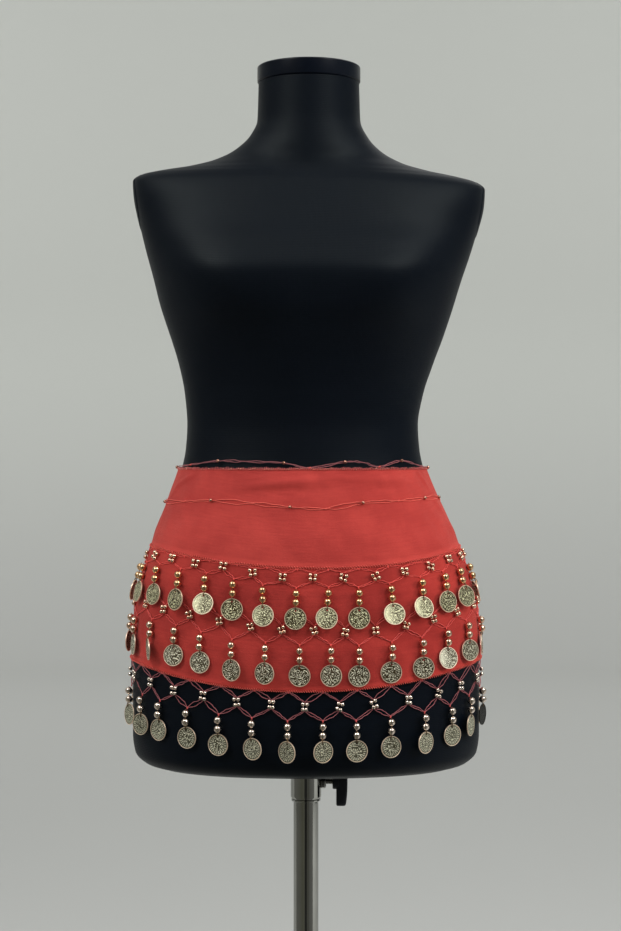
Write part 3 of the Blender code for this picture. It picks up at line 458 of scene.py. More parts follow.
class Shell:
    """Gathers grids of points in millimetres and turns them into one mesh in metres. On each
    grid the step along a row crossed with the step to the next row points outwards."""

    def __init__(self):
        self.points, self.faces, self.uvs, self.marks = [], [], [], []
        self.count = 0

    def add(self, points, around=False, along=False, poles=(False, False), uv=(0, 0), mark=0.0):
        """Adds one grid, or many alike: points has the shape (..., rows, columns, 3). around
        joins the last column to the first, along the last row to the first, and a pole draws
        an end row together into one point. A uv with no column or row past the join starts
        again there."""
        points = np.asarray(points, float)
        points = points.reshape((-1,) + points.shape[-3:])
        copies, rows, columns = points.shape[:3]
        index = np.arange(rows * columns).reshape(1, rows, columns, 1)
        for end in (0, -1):
            if poles[end]:
                index[:, end] = index[:, end, :1]
        index = joined(index, around, along)
        quads = corners(index)[0, ..., 0]
        quads[quads[:, 0] == quads[:, 1], 1] = -1
        quads[quads[:, 2] == quads[:, 3], 3] = -1
        starts = self.count + np.arange(copies)[:, None, None] * rows * columns
        uv = np.asarray(uv, float)
        if uv.ndim > 1:
            uv = joined(uv, around and uv.shape[-2] == columns, along and uv.shape[-3] == rows)
        uv = np.broadcast_to(uv, (copies,) + index.shape[1:3] + (2,))
        marks = np.broadcast_to(np.reshape(mark, (-1, 1)), (copies, rows * columns))
        self.points.append(points.reshape(-1, 3))
        self.faces.append(np.where(quads < 0, -1, quads + starts).reshape(-1, 4))
        self.uvs.append(corners(uv).reshape(-1, 4, 2))
        self.marks.append(marks.reshape(-1))
        self.count += copies * rows * columns
        return self

    def add_closed(self, points, uv=(0, 0), mark=0.0):
        """Adds grids that run right round and draw together at both ends."""
        return self.add(points, around=True, poles=(True, True), uv=uv, mark=mark)

    def add_threads(self, paths, normals, radius, sides, mark=0.0):
        """Adds round threads along paths."""
        points, uv = tubes(paths, normals, radius, sides), tube_uv(paths, radius, sides)
        return self.add_closed(points, uv, mark)

    def add_turned(self, profile, sides, ring=False, **place):
        """Adds a turned piece. A ring's profile is a loop, and any other ends on the axis."""
        points, uv = turned(profile, sides, **place), turned_uv(profile, sides)
        return self.add(points, around=True, along=ring, poles=(not ring, not ring), uv=uv)

    def put(self, name, look, sharp=40.0):
        """The mesh as an object of the scene: smooth, but for edges sharper than an angle."""
        faces = np.concatenate(self.faces)
        real = faces >= 0
        used, ends = np.unique(faces[real], return_inverse=True)
        counts = real.sum(axis=1)
        mesh = bpy.data.meshes.new(name)
        mesh.vertices.add(len(used))
        points = np.concatenate(self.points)[used] * MM
        mesh.vertices.foreach_set("co", points.astype(np.float32).ravel())
        mesh.loops.add(len(ends))
        mesh.loops.foreach_set("vertex_index", ends.astype(np.int32).ravel())
        mesh.polygons.add(len(counts))
        mesh.polygons.foreach_set("loop_start", (np.cumsum(counts) - counts).astype(np.int32))
        mesh.update(calc_edges=True)
        layer = mesh.uv_layers.new(name="UVMap")
        layer.data.foreach_set("uv", np.concatenate(self.uvs)[real].astype(np.float32).ravel())
        mark = mesh.attributes.new("mark", "FLOAT", "POINT")
        mark.data.foreach_set("value", np.concatenate(self.marks)[used].astype(np.float32))
        mesh.validate()
        mesh.materials.append(finish(look))
        mesh.shade_smooth()
        mesh.set_sharp_from_angle(angle=math.radians(sharp))
        made = bpy.data.objects.new(name, mesh)
        bpy.context.scene.collection.objects.link(made)
        return made

    def make(self, name, look, body, slot, sharp=40.0, nodes=()):
        """The finished piece: it rides on a body and may stand for nodes of the frame. The slot
        that it is given is not used."""
        made = self.put(name, look, sharp)
        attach(made, body)
        if nodes:
            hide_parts(*nodes)
        return made


def softened(profile, reach, steps=4):
    """A profile whose inner corners are quadratic curves that start and end at reach, or at
    a third of the shorter side."""
    profile = np.asarray(profile, float)
    made = [profile[:1]]
    share = np.linspace(0, 1, steps + 1)[:, None]
    for before, corner, after in zip(profile[:-2], profile[1:-1], profile[2:]):
        back, on = before - corner, after - corner
        near = min(reach, np.linalg.norm(back) / 3, np.linalg.norm(on) / 3)
        start = corner + back / np.linalg.norm(back) * near
        end = corner + on / np.linalg.norm(on) * near
        made.append(start * (1 - share) ** 2 + 2 * corner * share * (1 - share) + end * share**2)
    made.append(profile[-1:])
    return np.concatenate(made)


def turned(profile, sides, centre=(0.0, 0.0, 0.0), sideways=False, start=0.0):
    """A profile of (radius, height) pairs, run upwards on its outside, turned round +Z, or
    round +X for a sideways rod: (r sin a, -r cos a, h)."""
    profile = np.asarray(profile, float)
    angle = (np.arange(sides) / sides + start) * TAU
    radius, height = profile[:, :1], profile[:, 1:]
    points = (radius * np.sin(angle), -radius * np.cos(angle), height + 0 * angle)
    points = np.stack(points, axis=-1)
    if sideways:
        points = points[..., [2, 0, 1]]
    return points + np.asarray(centre)


def turned_uv(profile, sides):
    """Metres round and along a turned piece."""
    profile = np.asarray(profile, float)
    run = np.r_[0.0, np.linalg.norm(np.diff(profile, axis=0), axis=1).cumsum()]
    girth = TAU * profile[:, 0].max()
    return np.stack(np.meshgrid(np.arange(sides + 1) / sides * girth, run), axis=-1) * MM


def tubes(paths, normals, radius, sides):
    """Round threads along paths of shape (..., points, 3). Each ring is the path plus radius
    times (cos a * side + sin a * up), and both ends draw in to a point."""
    tangent = np.gradient(paths, axis=-2)
    tangent /= np.linalg.norm(tangent, axis=-1, keepdims=True) + 1e-9
    side = np.cross(normals, tangent)
    side /= np.linalg.norm(side, axis=-1, keepdims=True) + 1e-9
    up = np.cross(tangent, side)
    count = paths.shape[-2]
    wide = np.full(count + 2, radius, float)
    wide[[0, -1]] = 0.0
    doubled = np.r_[0, np.arange(count), count - 1]
    angle = np.arange(sides)[:, None] * TAU / sides
    ring = side[..., doubled, None, :] * np.cos(angle) + up[..., doubled, None, :] * np.sin(angle)
    centre = paths[..., doubled, :].copy()
    centre[..., 0, :] -= tangent[..., 0, :] * radius * 0.6
    centre[..., -1, :] += tangent[..., -1, :] * radius * 0.6
    return centre[..., None, :] + ring * wide[:, None, None]


def tube_uv(paths, radius, sides):
    """Metres round and along each thread."""
    run = np.linalg.norm(np.diff(paths, axis=-2), axis=-1).cumsum(axis=-1)
    run = np.concatenate([0 * run[..., :1], 0 * run[..., :1], run, run[..., -1:]], axis=-1)
    around = np.broadcast_to(np.arange(sides + 1) / sides * TAU * radius, run.shape + (sides + 1,))
    along = np.broadcast_to(run[..., None], around.shape)
    return (np.stack([around, along], axis=-1) * MM).reshape((-1,) + around.shape[-2:] + (2,))


def globe(rows, sides, start=0.0):
    """A ball of radius 1: circles of radius sin b at height -cos b, b running from pole to
    pole."""
    b = np.linspace(0, math.pi, rows + 1)
    return turned(np.stack([np.sin(b), -np.cos(b)], axis=-1), sides, start=start)


def balls(centres, radius, sides=12, rows=8, squash=1.0):
    """Round beads, or flatter ones for a squash under 1."""
    ball = globe(rows, sides) * (1.0, 1.0, squash)
    return np.reshape(centres, (-1, 1, 1, 3)) + ball * radius


def smooth_path(points, steps):
    """A curve through points: between each two, the cubic that keeps the Catmull-Rom slopes."""
    padded = np.concatenate([2 * points[:1] - points[1:2], points, 2 * points[-1:] - points[-2:-1]])
    a, b, c, d = (padded[i : len(padded) - 3 + i, None] for i in range(4))
    s = np.linspace(0, 1, steps, endpoint=False)[None, :, None]
    curve = 0.5 * (
        2 * b + (c - a) * s + (2 * a - 5 * b + 4 * c - d) * s**2 + (3 * b - a - 3 * c + d) * s**3
    )
    return np.concatenate([curve.reshape(-1, points.shape[-1]), points[-1:]])


# ---------------------------------------------------------------- shader expressions


def operator(operation, reflected=False):
    """A method of Value that adds one Math node, with its numbers the other way round for a
    reflected operator."""

    def method(self, *others):
        values = (*others, self) if reflected else (self, *others)
        return self.paint.math(operation, *values)

    return method


class Value:
    """A number in a node tree. Sums, products and powers of it add Math nodes."""

    __add__, __radd__ = operator("ADD"), operator("ADD", True)
    __sub__, __rsub__ = operator("SUBTRACT"), operator("SUBTRACT", True)
    __mul__, __rmul__ = operator("MULTIPLY"), operator("MULTIPLY", True)
    __truediv__, __rtruediv__ = operator("DIVIDE"), operator("DIVIDE", True)
    __pow__ = operator("POWER")
    sine, absolute = operator("SINE"), operator("ABSOLUTE")

    def __init__(self, paint, socket):
        self.paint, self.socket = paint, socket

    def between(self, low, high):
        """0 below low, 1 above high, and a smooth step between them."""
        settings = {"interpolation_type": "SMOOTHSTEP"}
        return self.paint.node("ShaderNodeMapRange", settings, {"Value": self, 1: low, 2: high})


class Paint:
    """The node tree of one material, round a Principled BSDF."""

    def __init__(self, name):
        self.material = bpy.data.materials.new(name)
        self.material.use_nodes = True
        self.tree = self.material.node_tree
        self.shader = self.tree.nodes["Principled BSDF"]

    def node(self, kind, settings=None, inputs=None, output=0):
        """Adds any node: its settings first, then the values or links of its sockets."""
        made = self.tree.nodes.new(kind)
        for key, value in (settings or {}).items():
            if key == "stops":
                ramp = made.color_ramp
                while len(ramp.elements) < len(value):
                    ramp.elements.new(0.5)
                for element, (place, colour) in zip(ramp.elements, value):
                    element.position, element.color = place, (*colour, 1.0)
            else:
                setattr(made, key, value)
        for key, value in (inputs or {}).items():
            self.link(made.inputs[key], value)
        return Value(self, made.outputs[output])

    def link(self, socket, value):
        """Links a value to a socket, or sets the socket to plain numbers."""
        if isinstance(value, Value):
            self.tree.links.new(value.socket, socket)
        elif hasattr(value, "__len__") and socket.type == "RGBA" and len(value) == 3:
            socket.default_value = (*value, 1.0)
        else:
            socket.default_value = value

    def math(self, operation, *values):
        """A Math node on numbers and values."""
        return self.node("ShaderNodeMath", {"operation": operation}, dict(enumerate(values)))

    def mix(self, share, low, high):
        """A colour between two colours."""
        return self.node("ShaderNodeMix", {"data_type": "RGBA"}, {0: share, 6: low, 7: high}, 2)

    def part(self, vector, which):
        """One of the three numbers of a vector."""
        return self.node("ShaderNodeSeparateXYZ", None, {0: vector}, which)

    def place(self):
        """The piece's own UV map in metres, and its two numbers."""
        uv = self.node("ShaderNodeUVMap", {"uv_map": "UVMap"})
        return uv, self.part(uv, 0), self.part(uv, 1)

    def spot(self):
        """The object's own coordinates, in metres."""
        return self.node("ShaderNodeTexCoord", None, None, "Object")

    def noise(self, vector, scale, detail=3.0, rough=0.55):
        """Soft noise from 0 to 1."""
        inputs = {"Vector": vector, "Scale": scale, "Detail": detail, "Roughness": rough}
        return self.node("ShaderNodeTexNoise", None, inputs)

    def streaks(self, vector, across, along, detail=2.0):
        """Noise with a fineness of its own each way."""
        inputs = {0: vector, 1: (across, along, 1.0)}
        vector = self.node("ShaderNodeVectorMath", {"operation": "MULTIPLY"}, inputs)
        return self.noise(vector, 1.0, detail)

    def mark(self):
        """The number that each separate small piece carries."""
        return self.node("ShaderNodeAttribute", {"attribute_name": "mark"}, None, "Fac")

    def finish(self, colour, roughness, height=None, depth=0.0002, **constants):
        """Sets the shader. Constants name sockets with underscores for spaces."""
        constants.update(Base_Color=colour, Roughness=roughness)
        if height is not None:
            bump = {"Distance": depth, "Height": height}
            constants["Normal"] = self.node("ShaderNodeBump", None, bump)
        for name, value in constants.items():
            self.link(self.shader.inputs[name.replace("_", " ")], value)
        return self.material


def tinted(colour, factor):
    """A colour made lighter or darker, as plain numbers."""
    return tuple(min(1.0, part * factor) for part in colour)


def chiffon(paint, light, dark):
    """Plain-woven chiffon: crossed threads, slubs, a lighter rolled hem, and patches where
    the dark form shows through the sheer cloth."""
    uv, u, v = paint.place()
    weave = (u * (TAU / WEAVE_PITCH)).sine() * (v * (TAU / WEAVE_PITCH)).sine()
    slub = paint.streaks(uv, 90.0, 1400.0) + paint.streaks(uv, 1400.0, 90.0)
    sheer = paint.noise(uv, 16.0, 4.0, 0.6).between(0.3, 0.72)
    fine = paint.noise(uv, 170.0, 3.0, 0.6)
    hem = 1 - v.between(0.0030, 0.0065)
    streak = paint.streaks(uv, 38.0, 430.0, 3.0)
    crepe = paint.streaks(uv, 420.0, 620.0)
    share = sheer * 0.62 + fine * 0.16 + slub * 0.06 + hem * 0.35 + weave * 0.03
    share = share + (streak - 0.5) * 0.5 + (crepe - 0.5) * 0.3 + 0.08
    colour = paint.mix(share.between(0.0, 1.15), dark, light)
    height = weave * 0.35 + slub * 0.5 + fine * 0.4 + streak * 1.6 + crepe * 0.8
    return paint.finish(
        colour, 0.72 + fine * 0.16, height, 0.00016,
        Sheen_Weight=0.22, Sheen_Roughness=0.4, Sheen_Tint=(1.0, 0.6, 0.5), Specular_IOR_Level=0.2,
    )


def thread_yarn(paint, colour, faded):
    """Two-ply thread: a slanting twist round it, lighter on each ply's crest and darker in the
    groove between plies, which is painted highlight and painted shade, and fine fuzz in random
    patches. Thread whose mark is 1 is a dusty rose, a painted sheen that stands in for the
    gloss of thin red thread over the black form."""
    uv, u, v = paint.place()
    twist = ((u * 2.0 + v) * (TAU / TWIST_PITCH)).sine() * 0.5 + 0.5
    fuzz = paint.noise(uv, 900.0, 2.0)
    # The twist makes each ply lighter on its crest and darker in the groove between plies: painted
    # highlight and painted shade.
    share = twist * 0.6 + fuzz * 0.4
    twisted_tone = paint.mix(share, tinted(colour, 0.65), tinted(colour, 1.2))
    # Painted sheen: thread with mark 1 turns a dusty rose, standing in for the gloss of thin red
    # thread over the black form.
    tone = paint.mix(paint.mark(), twisted_tone, paint.mix(share, tinted(faded, 0.6), tinted(faded, 1.4)))
    return paint.finish(
        tone, 0.6, twist + fuzz * 0.5, 0.0002, Sheen_Weight=0.12, Sheen_Tint=(1.0, 0.6, 0.6, 1.0)
    )


def dark_wire(paint):
    """Antiqued brass wire, browner in patches."""
    patch = paint.noise(paint.spot(), 900.0, 2.0)
    tone = paint.mix(patch, (0.10, 0.055, 0.03), (0.34, 0.22, 0.12))
    return paint.finish(tone, 0.38 + patch * 0.15, patch, 0.00003, Metallic=1.0)


def bead_metal(paint, colour):
    """Plated beads: thin plating that dulls and darkens in patches."""
    dull = paint.noise(paint.spot(), 700.0, 3.0).between(0.35, 0.75)
    tone = paint.mix(dull + paint.mark() * 0.25, tinted(colour, 1.1), tinted(colour, 0.66))
    return paint.finish(tone, 0.19 + dull * 0.14, dull, 0.00004, Metallic=1.0)


def coin_metal(paint, light, dark, border):
    """Stamped coins: a thin plain rim, then engraving of short curled strokes, which are the
    contour lines of soft noise, cut up by finer noise. Some have a border of radial strokes
    inside the rim. Hollows are dark with antiquing and tops are worn bright. A coin whose mark
    is nearer 1 is lighter all over, which is wear with painted glare, and carries a painted
    glare on one side, where its engraving is smoothed too. The rim is tinted pinkish beige, a
    painted reflection of the red cloth. A coin whose mark is below 0 is painted near black, a
    painted shade for a coin hanging in shadow."""
    uv, u, v = paint.place()
    radius = (u * u + v * v) ** 0.5
    # The mark is the coin's wear and painted light: painted glare as it nears 1, painted shade
    # below 0.
    wear = paint.mark()
    offset = paint.node("ShaderNodeCombineXYZ", None, {0: wear * 3700.0, 1: wear * 1100.0})
    shifted = paint.node("ShaderNodeVectorMath", {"operation": "ADD"}, {0: uv, 1: offset})
    curls = (paint.noise(shifted, 2.9, 0.0) * 26.0).sine() * 0.5 + 0.5
    cuts = paint.noise(shifted, 7.2, 1.0).between(0.36, 0.52)
    grain = paint.noise(shifted, 12.5, 2.0, 0.6)
    strokes = curls.between(0.35, 0.8) * cuts + (grain - 0.5) * 0.7
    band = radius.between(0.56, 0.60) * (1 - radius.between(0.78, 0.82)) * border
    spokes = (paint.math("ARCTAN2", v, u) * 23.0 + grain * 7.0).sine().between(-0.4, 0.6)
    circle = 1 - ((radius - 0.57).absolute() * 22.0).between(0.0, 1.0)
    strokes = strokes * (1 - band) + spokes * band * 0.9
    strokes = strokes * (1 - circle * border * 0.7)
    rim = radius.between(0.905, 0.935)
    ditch = radius.between(0.83, 0.86) * (1 - rim)
    # Bright coins are worn, and their brightness is partly painted glare.
    bright = wear.between(0.45, 1.0)
    faint = 1 - wear.between(0.0, 0.45)
    patina = paint.noise(shifted, 1.3, 2.0)
    # Painted glare: a light patch on one side of a bright coin, which also smooths the engraving
    # there.
    painted_glare = bright * (patina * 0.8 - u * 0.8 - 0.32).between(0.0, 1.0)
    raised = strokes * (1 - painted_glare * 0.55) + painted_glare * 0.5
    raised = raised * (1 - rim) * (1 - ditch * 0.8) + rim * 0.72
    depth = 1 - faint * 0.6
    # Tone of the relief: antiquing in hollows and wear on tops, plus painted glare on bright coins.
    worn_and_glare = (raised - 0.4) * depth * (bright * 0.35 + 1) + bright * 0.27 + painted_glare * 0.15 + 0.42
    tone = paint.mix(worn_and_glare.between(0.03, 0.70), dark, paint.mix(patina, light, tinted(light, 0.8)))
    # Painted reflection: the rim tinted pinkish beige as if by the red cloth.
    tone = paint.mix(rim * 0.7, tone, (1.0, 0.74, 0.56))
    # Painted shade: a coin whose mark is below 0 turns near black, as one hanging in shadow.
    tone = paint.mix(wear.between(-0.5, 0.0), (0.012, 0.012, 0.01), tone)
    metal = 0.82 - bright * 0.62
    return paint.finish(tone, 0.5 - worn_and_glare * 0.12, raised * depth, 0.0009, Metallic=metal)


def jersey(paint, base):
    """Black jersey: columns of small V-shaped stitches, lighter on their crests and darker between
    them as painted shade, and a little lint.
    """
    uv, u, v = paint.place()
    column = (u * (TAU / STITCH_WIDTH)).sine().absolute()
    stitch = ((v + column * 0.0008) * (TAU / STITCH_HEIGHT)).sine()
    knit = column * 0.6 + stitch * 0.4
    patch = paint.noise(uv, 9.0, 4.0)
    lint = paint.noise(uv, 1500.0, 2.0).between(0.66, 0.82)
    # The knit makes the stitches lighter on their crests and darker between them: painted shade.
    share = patch * 0.3 + lint * 0.35 + knit * 0.25
    tone = paint.mix(share, tinted(base, 0.5), tinted(base, 1.6))
    return paint.finish(
        tone, 0.41 + patch * 0.08 + knit * 0.05, knit, 0.00006,
        Specular_IOR_Level=0.11, Specular_Tint=(0.9, 1.0, 0.96, 1.0),
    )


def satin_black(paint):
    """Moulded black plastic with a faint orange-peel surface."""
    peel = paint.noise(paint.spot(), 420.0, 2.0)
    broad = paint.noise(paint.spot(), 22.0, 3.0)
    tone = paint.mix(broad, (0.0014, 0.0024, 0.005), (0.003, 0.005, 0.010))
    return paint.finish(tone, 0.24 + broad * 0.1, peel, 0.00002, Specular_IOR_Level=0.14)


def knob_black(paint):
    """Duller black plastic with a fine grain."""
    grain = paint.noise(paint.spot(), 900.0, 3.0)
    tone = paint.mix(grain, (0.002, 0.003, 0.006), (0.008, 0.01, 0.014))
    return paint.finish(tone, 0.4 + grain * 0.2, grain, 0.00006, Specular_IOR_Level=0.2)


def chrome(paint):
    """Chromed steel with fine lengthwise rubbing and a few dull patches."""
    uv = paint.place()[0]
    rub = paint.streaks(uv, 1600.0, 24.0)
    dull = paint.noise(uv, 30.0, 3.0)
    tone = paint.mix(dull, (0.285, 0.285, 0.265), (0.38, 0.38, 0.355))
    return paint.finish(tone, 0.03 + rub * 0.03 + dull * 0.02, rub, 0.000004, Metallic=1.0)


def stage_paint(paint):
    """A plain pale matt surface: the floor's colour, and the backdrop's higher up."""
    stage = bpy.context.scene.scarf_stage
    wash = paint.noise(paint.spot(), 0.7, 3.0)
    height = paint.part(paint.spot(), 2).between(0.0, 1.5)
    tone = paint.mix(height, tuple(stage.floor), tuple(stage.backdrop))
    return paint.finish(paint.mix(wash * 0.02, tone, (0.3, 0.3, 0.3)), 0.9)


def card_paint(paint):
    """Dim card in upright bands, with a black strip near its middle, and a faint light of
    its own. It pales in a band above the camera and is darkest overhead."""
    u, v = paint.place()[1:]
    share = (u + CARD_START) / CARD_SPAN
    bands = paint.node("ShaderNodeValToRGB", {"stops": CARD_BANDS}, {"Fac": share})
    glow = paint.mix(v.between(2.9, 4.2), bands, (1.05, 1.06, 1.03))
    glow = paint.mix(v.between(5.7, 6.9), glow, (0.03, 0.03, 0.03))
    return paint.finish((0.01, 0.01, 0.01), 0.9, Emission_Color=glow, Emission_Strength=1.0)


# Each finish: what makes it, then the colours that a user may change, and whether a coin has
# a border.
FINISHES = {
    "overlay_chiffon": (chiffon, "overlay_light", "overlay_dark"),
    "panel_chiffon": (chiffon, "panel_light", "panel_dark"),
    "net_thread": (thread_yarn, "thread", "faded_thread"),
    "edge_thread": (thread_yarn, "edge_thread", "faded_thread"),
    "dark_wire": (dark_wire,),
    "gold_beads": (bead_metal, "gold"),
    "warm_beads": (bead_metal, "warm_gold"),
    "pale_beads": (bead_metal, "pale_gold"),
    "rose_beads": (bead_metal, "rose_gold"),
    "gold_coins": (coin_metal, "gold_coin", "coin_dark", 0.0),
    "silver_coins": (coin_metal, "silver_coin", "coin_dark", 0.0),
    "nickel_coins": (coin_metal, "nickel_coin", "nickel_dark", 1.0),
    "jersey": (jersey, "jersey"),
    "satin_black": (satin_black,),
    "knob_black": (knob_black,),
    "chrome": (chrome,),
    "stage_paint": (stage_paint,),
    "card_paint": (card_paint,),
}
MATERIALS = {}


def finish(name):
    """The material of that name, made the first time it is asked for."""
    if name not in MATERIALS:
        maker, *parts = FINISHES[name]
        group = bpy.context.scene.scarf_colours
        parts = [tuple(getattr(group, p)) if isinstance(p, str) else p for p in parts]
        MATERIALS[name] = maker(Paint(name), *parts)
    return MATERIALS[name]


# ---------------------------------------------------------------- sizes and colours


def length(name, default, description):
    """A length a user may change, in metres."""
    return bpy.props.FloatProperty(
        name=name, description=description, default=default, min=0.0, precision=4,
        subtype="DISTANCE", unit="LENGTH",
    )


def colour(name, default, description):
    """A linear colour a user may change."""
    return bpy.props.FloatVectorProperty(
        name=name, description=description, default=default, min=0.0, max=1.0, size=3,
        subtype="COLOR",
    )


def power(name, default, description):
    """The power or brightness of a light."""
    return bpy.props.FloatProperty(name=name, description=description, default=default, min=0.0)


class ScarfSizes(bpy.types.PropertyGroup):
    """Sizes of the small pieces on the scarf."""

    thread: length("Net thread", 0.00072, "Diameter of the knotted thread")
    chain_thread: length("Chain thread", 0.0009, "Diameter of the loose chains' thread")
    overlock_thread: length("Edging thread", 0.00062, "Diameter of the thread that binds each edge")
    overlock_pitch: length("Edging pitch", 0.0021, "Distance from one binding loop to the next")
    bead: length("Bead", 0.0077, "Diameter of the two beads in a drop")
    cluster_bead: length("Cluster bead", 0.0043, "Diameter of the four beads of a cluster")
    chain_bead: length("Chain bead", 0.0036, "Diameter of the beads on the loose chains")
    seed_bead: length("Seed bead", 0.0013, "Diameter of the beads sewn along the upper edge")
    coin: length("Coin", 0.0218, "Diameter of a coin")
    coin_thickness: length("Coin thickness", 0.0011, "Thickness of a coin at its rim")
    coin_hole: length("Coin hole", 0.0019, "Diameter of the hole near a coin's edge")
    cloth: length("Cloth", 0.0004, "Thickness of one layer of cloth")


class ScarfColours(bpy.types.PropertyGroup):
    """Colours of the scarf and of the form."""

    overlay_light: colour("Overlay, light", (0.525, 0.053, 0.0425), "Overlay where it is lit")
    overlay_dark: colour("Overlay, dark", (0.375, 0.031, 0.026), "Overlay where the form shows")
    panel_light: colour("Panel, light", (0.465, 0.040, 0.031), "Panel where it is lit")
    panel_dark: colour("Panel, dark", (0.295, 0.020, 0.0165), "Panel where the form shows")
    thread: colour("Net thread", (0.92, 0.080, 0.062), "Knotted thread of the net")
    edge_thread: colour("Edging thread", (0.95, 0.12, 0.085), "Thread of the edges and chains")
    # Painted sheen: the dusty rose that stands in for the gloss of thin red thread over the black
    # form.
    faded_thread: colour("Faded thread", (0.34, 0.11, 0.125), "Thread where it has faded")
    gold: colour("Gold beads", (0.95, 0.58, 0.31), "Plating of the upper row's beads")
    warm_gold: colour("Warm beads", (1.0, 0.66, 0.48), "Plating of the middle and small beads")
    pale_gold: colour("Pale beads", (0.95, 0.79, 0.68), "Plating of the lower row's beads")
    rose_gold: colour("Rose beads", (0.66, 0.34, 0.25), "Plating of the loose chains' beads")
    gold_coin: colour("Gold coins", (1.0, 0.96, 0.62), "Worn tops of the upper row's coins")
    silver_coin: colour("Silver coins", (1.0, 0.96, 0.74), "Worn tops of the middle row's coins")
    nickel_coin: colour("Nickel coins", (0.93, 0.90, 0.69), "Worn tops of the lower row's coins")
    coin_dark: colour("Coin hollows", (0.062, 0.043, 0.016), "Hollows of the upper rows' coins")
    nickel_dark: colour("Nickel hollows", (0.075, 0.07, 0.038), "Hollows of the lower row's coins")
    jersey: colour("Jersey", (0.0020, 0.0038, 0.0080), "Cover of the form")


class ScarfStage(bpy.types.PropertyGroup):
    """The pale stage and its light."""

    backdrop: colour("Backdrop", (0.62, 0.63, 0.60), "Wall behind the form")
    floor: colour("Floor", (0.50, 0.50, 0.485), "Floor under the form")
    radius: length("Radius", 8.0, "Distance of the backdrop from the pole")
    key: power("Key light", 46.0, "Power that the two high lamps in front are set by, in watts")
    fill: power("Side light", 10.0, "Power that the side and back lamps are set by, in watts")
    wall: power("Wall light", 42.0, "Power of each lamp that lights the backdrop, in watts")
    sky: power("Ceiling", 0.5, "Brightness of the soft light from above")


def radius_of(name):
    """Half of a size, in millimetres."""
    return 0.5 * getattr(bpy.context.scene.scarf_sizes, name) / MM


# ---------------------------------------------------------------- operators


def form_rises():
    """Rises of the form's rows, even along the curve that the side of the form draws."""
    fine = np.linspace(SECTIONS[0, 0], SECTIONS[-1, 0], 2400)
    run = np.hypot(np.diff(fine), np.diff(section("half_width", fine)))
    run = np.r_[0.0, run.cumsum()]
    return np.interp(np.linspace(0, run[-1], FORM_UP), run, fine)


class MakeForm(bpy.types.Operator):
    """Makes the jersey-covered form, its two armhole plates and its neck cap"""

    bl_idname = "hip_scarf.form"
    bl_label = "Dress form"

    def execute(self, context):
        self.body()
        self.plates()
        self.neck_cap()
        return {"FINISHED"}

    def body(self):
        """Rows of skin() between the hollow below and the closed neck above: the bore's
        closed end, its wall, the recess, the flat underside, the figure and the neck's top."""
        ceiling = FORM_BOTTOM + RECESS_DEPTH
        bore_top = WAIST_Z + BORE_TOP_RISE
        hollow = (
            (0.0, bore_top), (BORE_RADIUS, bore_top), (BORE_RADIUS, ceiling),
            (RECESS_RADIUS, ceiling), (RECESS_RADIUS, FORM_BOTTOM),
        )
        rings = turned(hollow, FORM_AROUND, start=-0.5)
        turns = np.arange(FORM_AROUND) / FORM_AROUND - 0.5
        figure = skin(turns, form_rises()[:, None])
        top = figure[-1]
        under = [rings[-1] * (1 - share) + figure[0] * share for share in UNDERSIDE_SHARES]
        closing = [top * (1 - share) + top.mean(axis=0) * share for share in NECK_TOP_SHARES]
        points = np.concatenate([rings, under, figure, closing])
        closed = joined(points, True, False)
        u = np.linalg.norm(np.diff(closed, axis=1, prepend=closed[:, :1]), axis=-1).cumsum(axis=1)
        climb = np.linalg.norm(np.diff(closed, axis=0), axis=-1).mean(axis=1)
        v = np.broadcast_to(np.r_[0.0, climb.cumsum()][:, None], u.shape)
        uv = np.stack([u - u[:, FORM_AROUND // 2][:, None], v], axis=-1) * MM
        shell = Shell().add_closed(points, uv)
        shell.make("dress_form_body", "jersey", "form", "jersey", 60, ["form_body"])

    def plates(self):
        """An oval patch of the skin, lifted by the root of 1 - r^8 so that its edge is round."""
        shell = Shell()
        r = np.linspace(0, 1, 15)[:, None] ** 0.6
        a = np.arange(72) * TAU / 72
        lift = PLATE_PROUD * (1.5 * np.sqrt(1 - r**8) - 0.5) + 0 * a
        rise = PLATE_RISE + PLATE_HALF_RISE * r * np.sin(a)
        for way in (-1, 1):
            turn = way * (PLATE_TURN + PLATE_HALF_TURN * r * np.cos(a))
            points = placed(turn, rise, lift)
            if way > 0:
                points = points[:, ::-1]
            uv = np.stack([turn * 0.95, rise * MM], axis=-1)
            shell.add(points[::-1], around=True, poles=(False, True), uv=uv[::-1])
        shell.make("armhole_plates", "jersey", "form", "jersey", 60)

    def neck_cap(self):
        """A turned lid with rounded edges and a slightly domed top."""
        low = WAIST_Z + SECTIONS[-1, 0] + SEAM_GAP
        high = low + CAP_HEIGHT
        profile = softened(
            ((0, low), (CAP_RADIUS - 1, low), (CAP_RADIUS, low + 1.0), (CAP_RADIUS, high - 1.2),
             (CAP_RADIUS - 1.6, high), (CAP_RADIUS - 9, high), (0, high)),
            1.4,
        )
        shell = Shell().add_turned(profile, 120, centre=(SECTIONS[-1, 4], 0.0, 0.0))
        shell.make("neck_lid", "satin_black", "form", "cap_plastic", 50, ["neck_cap"])


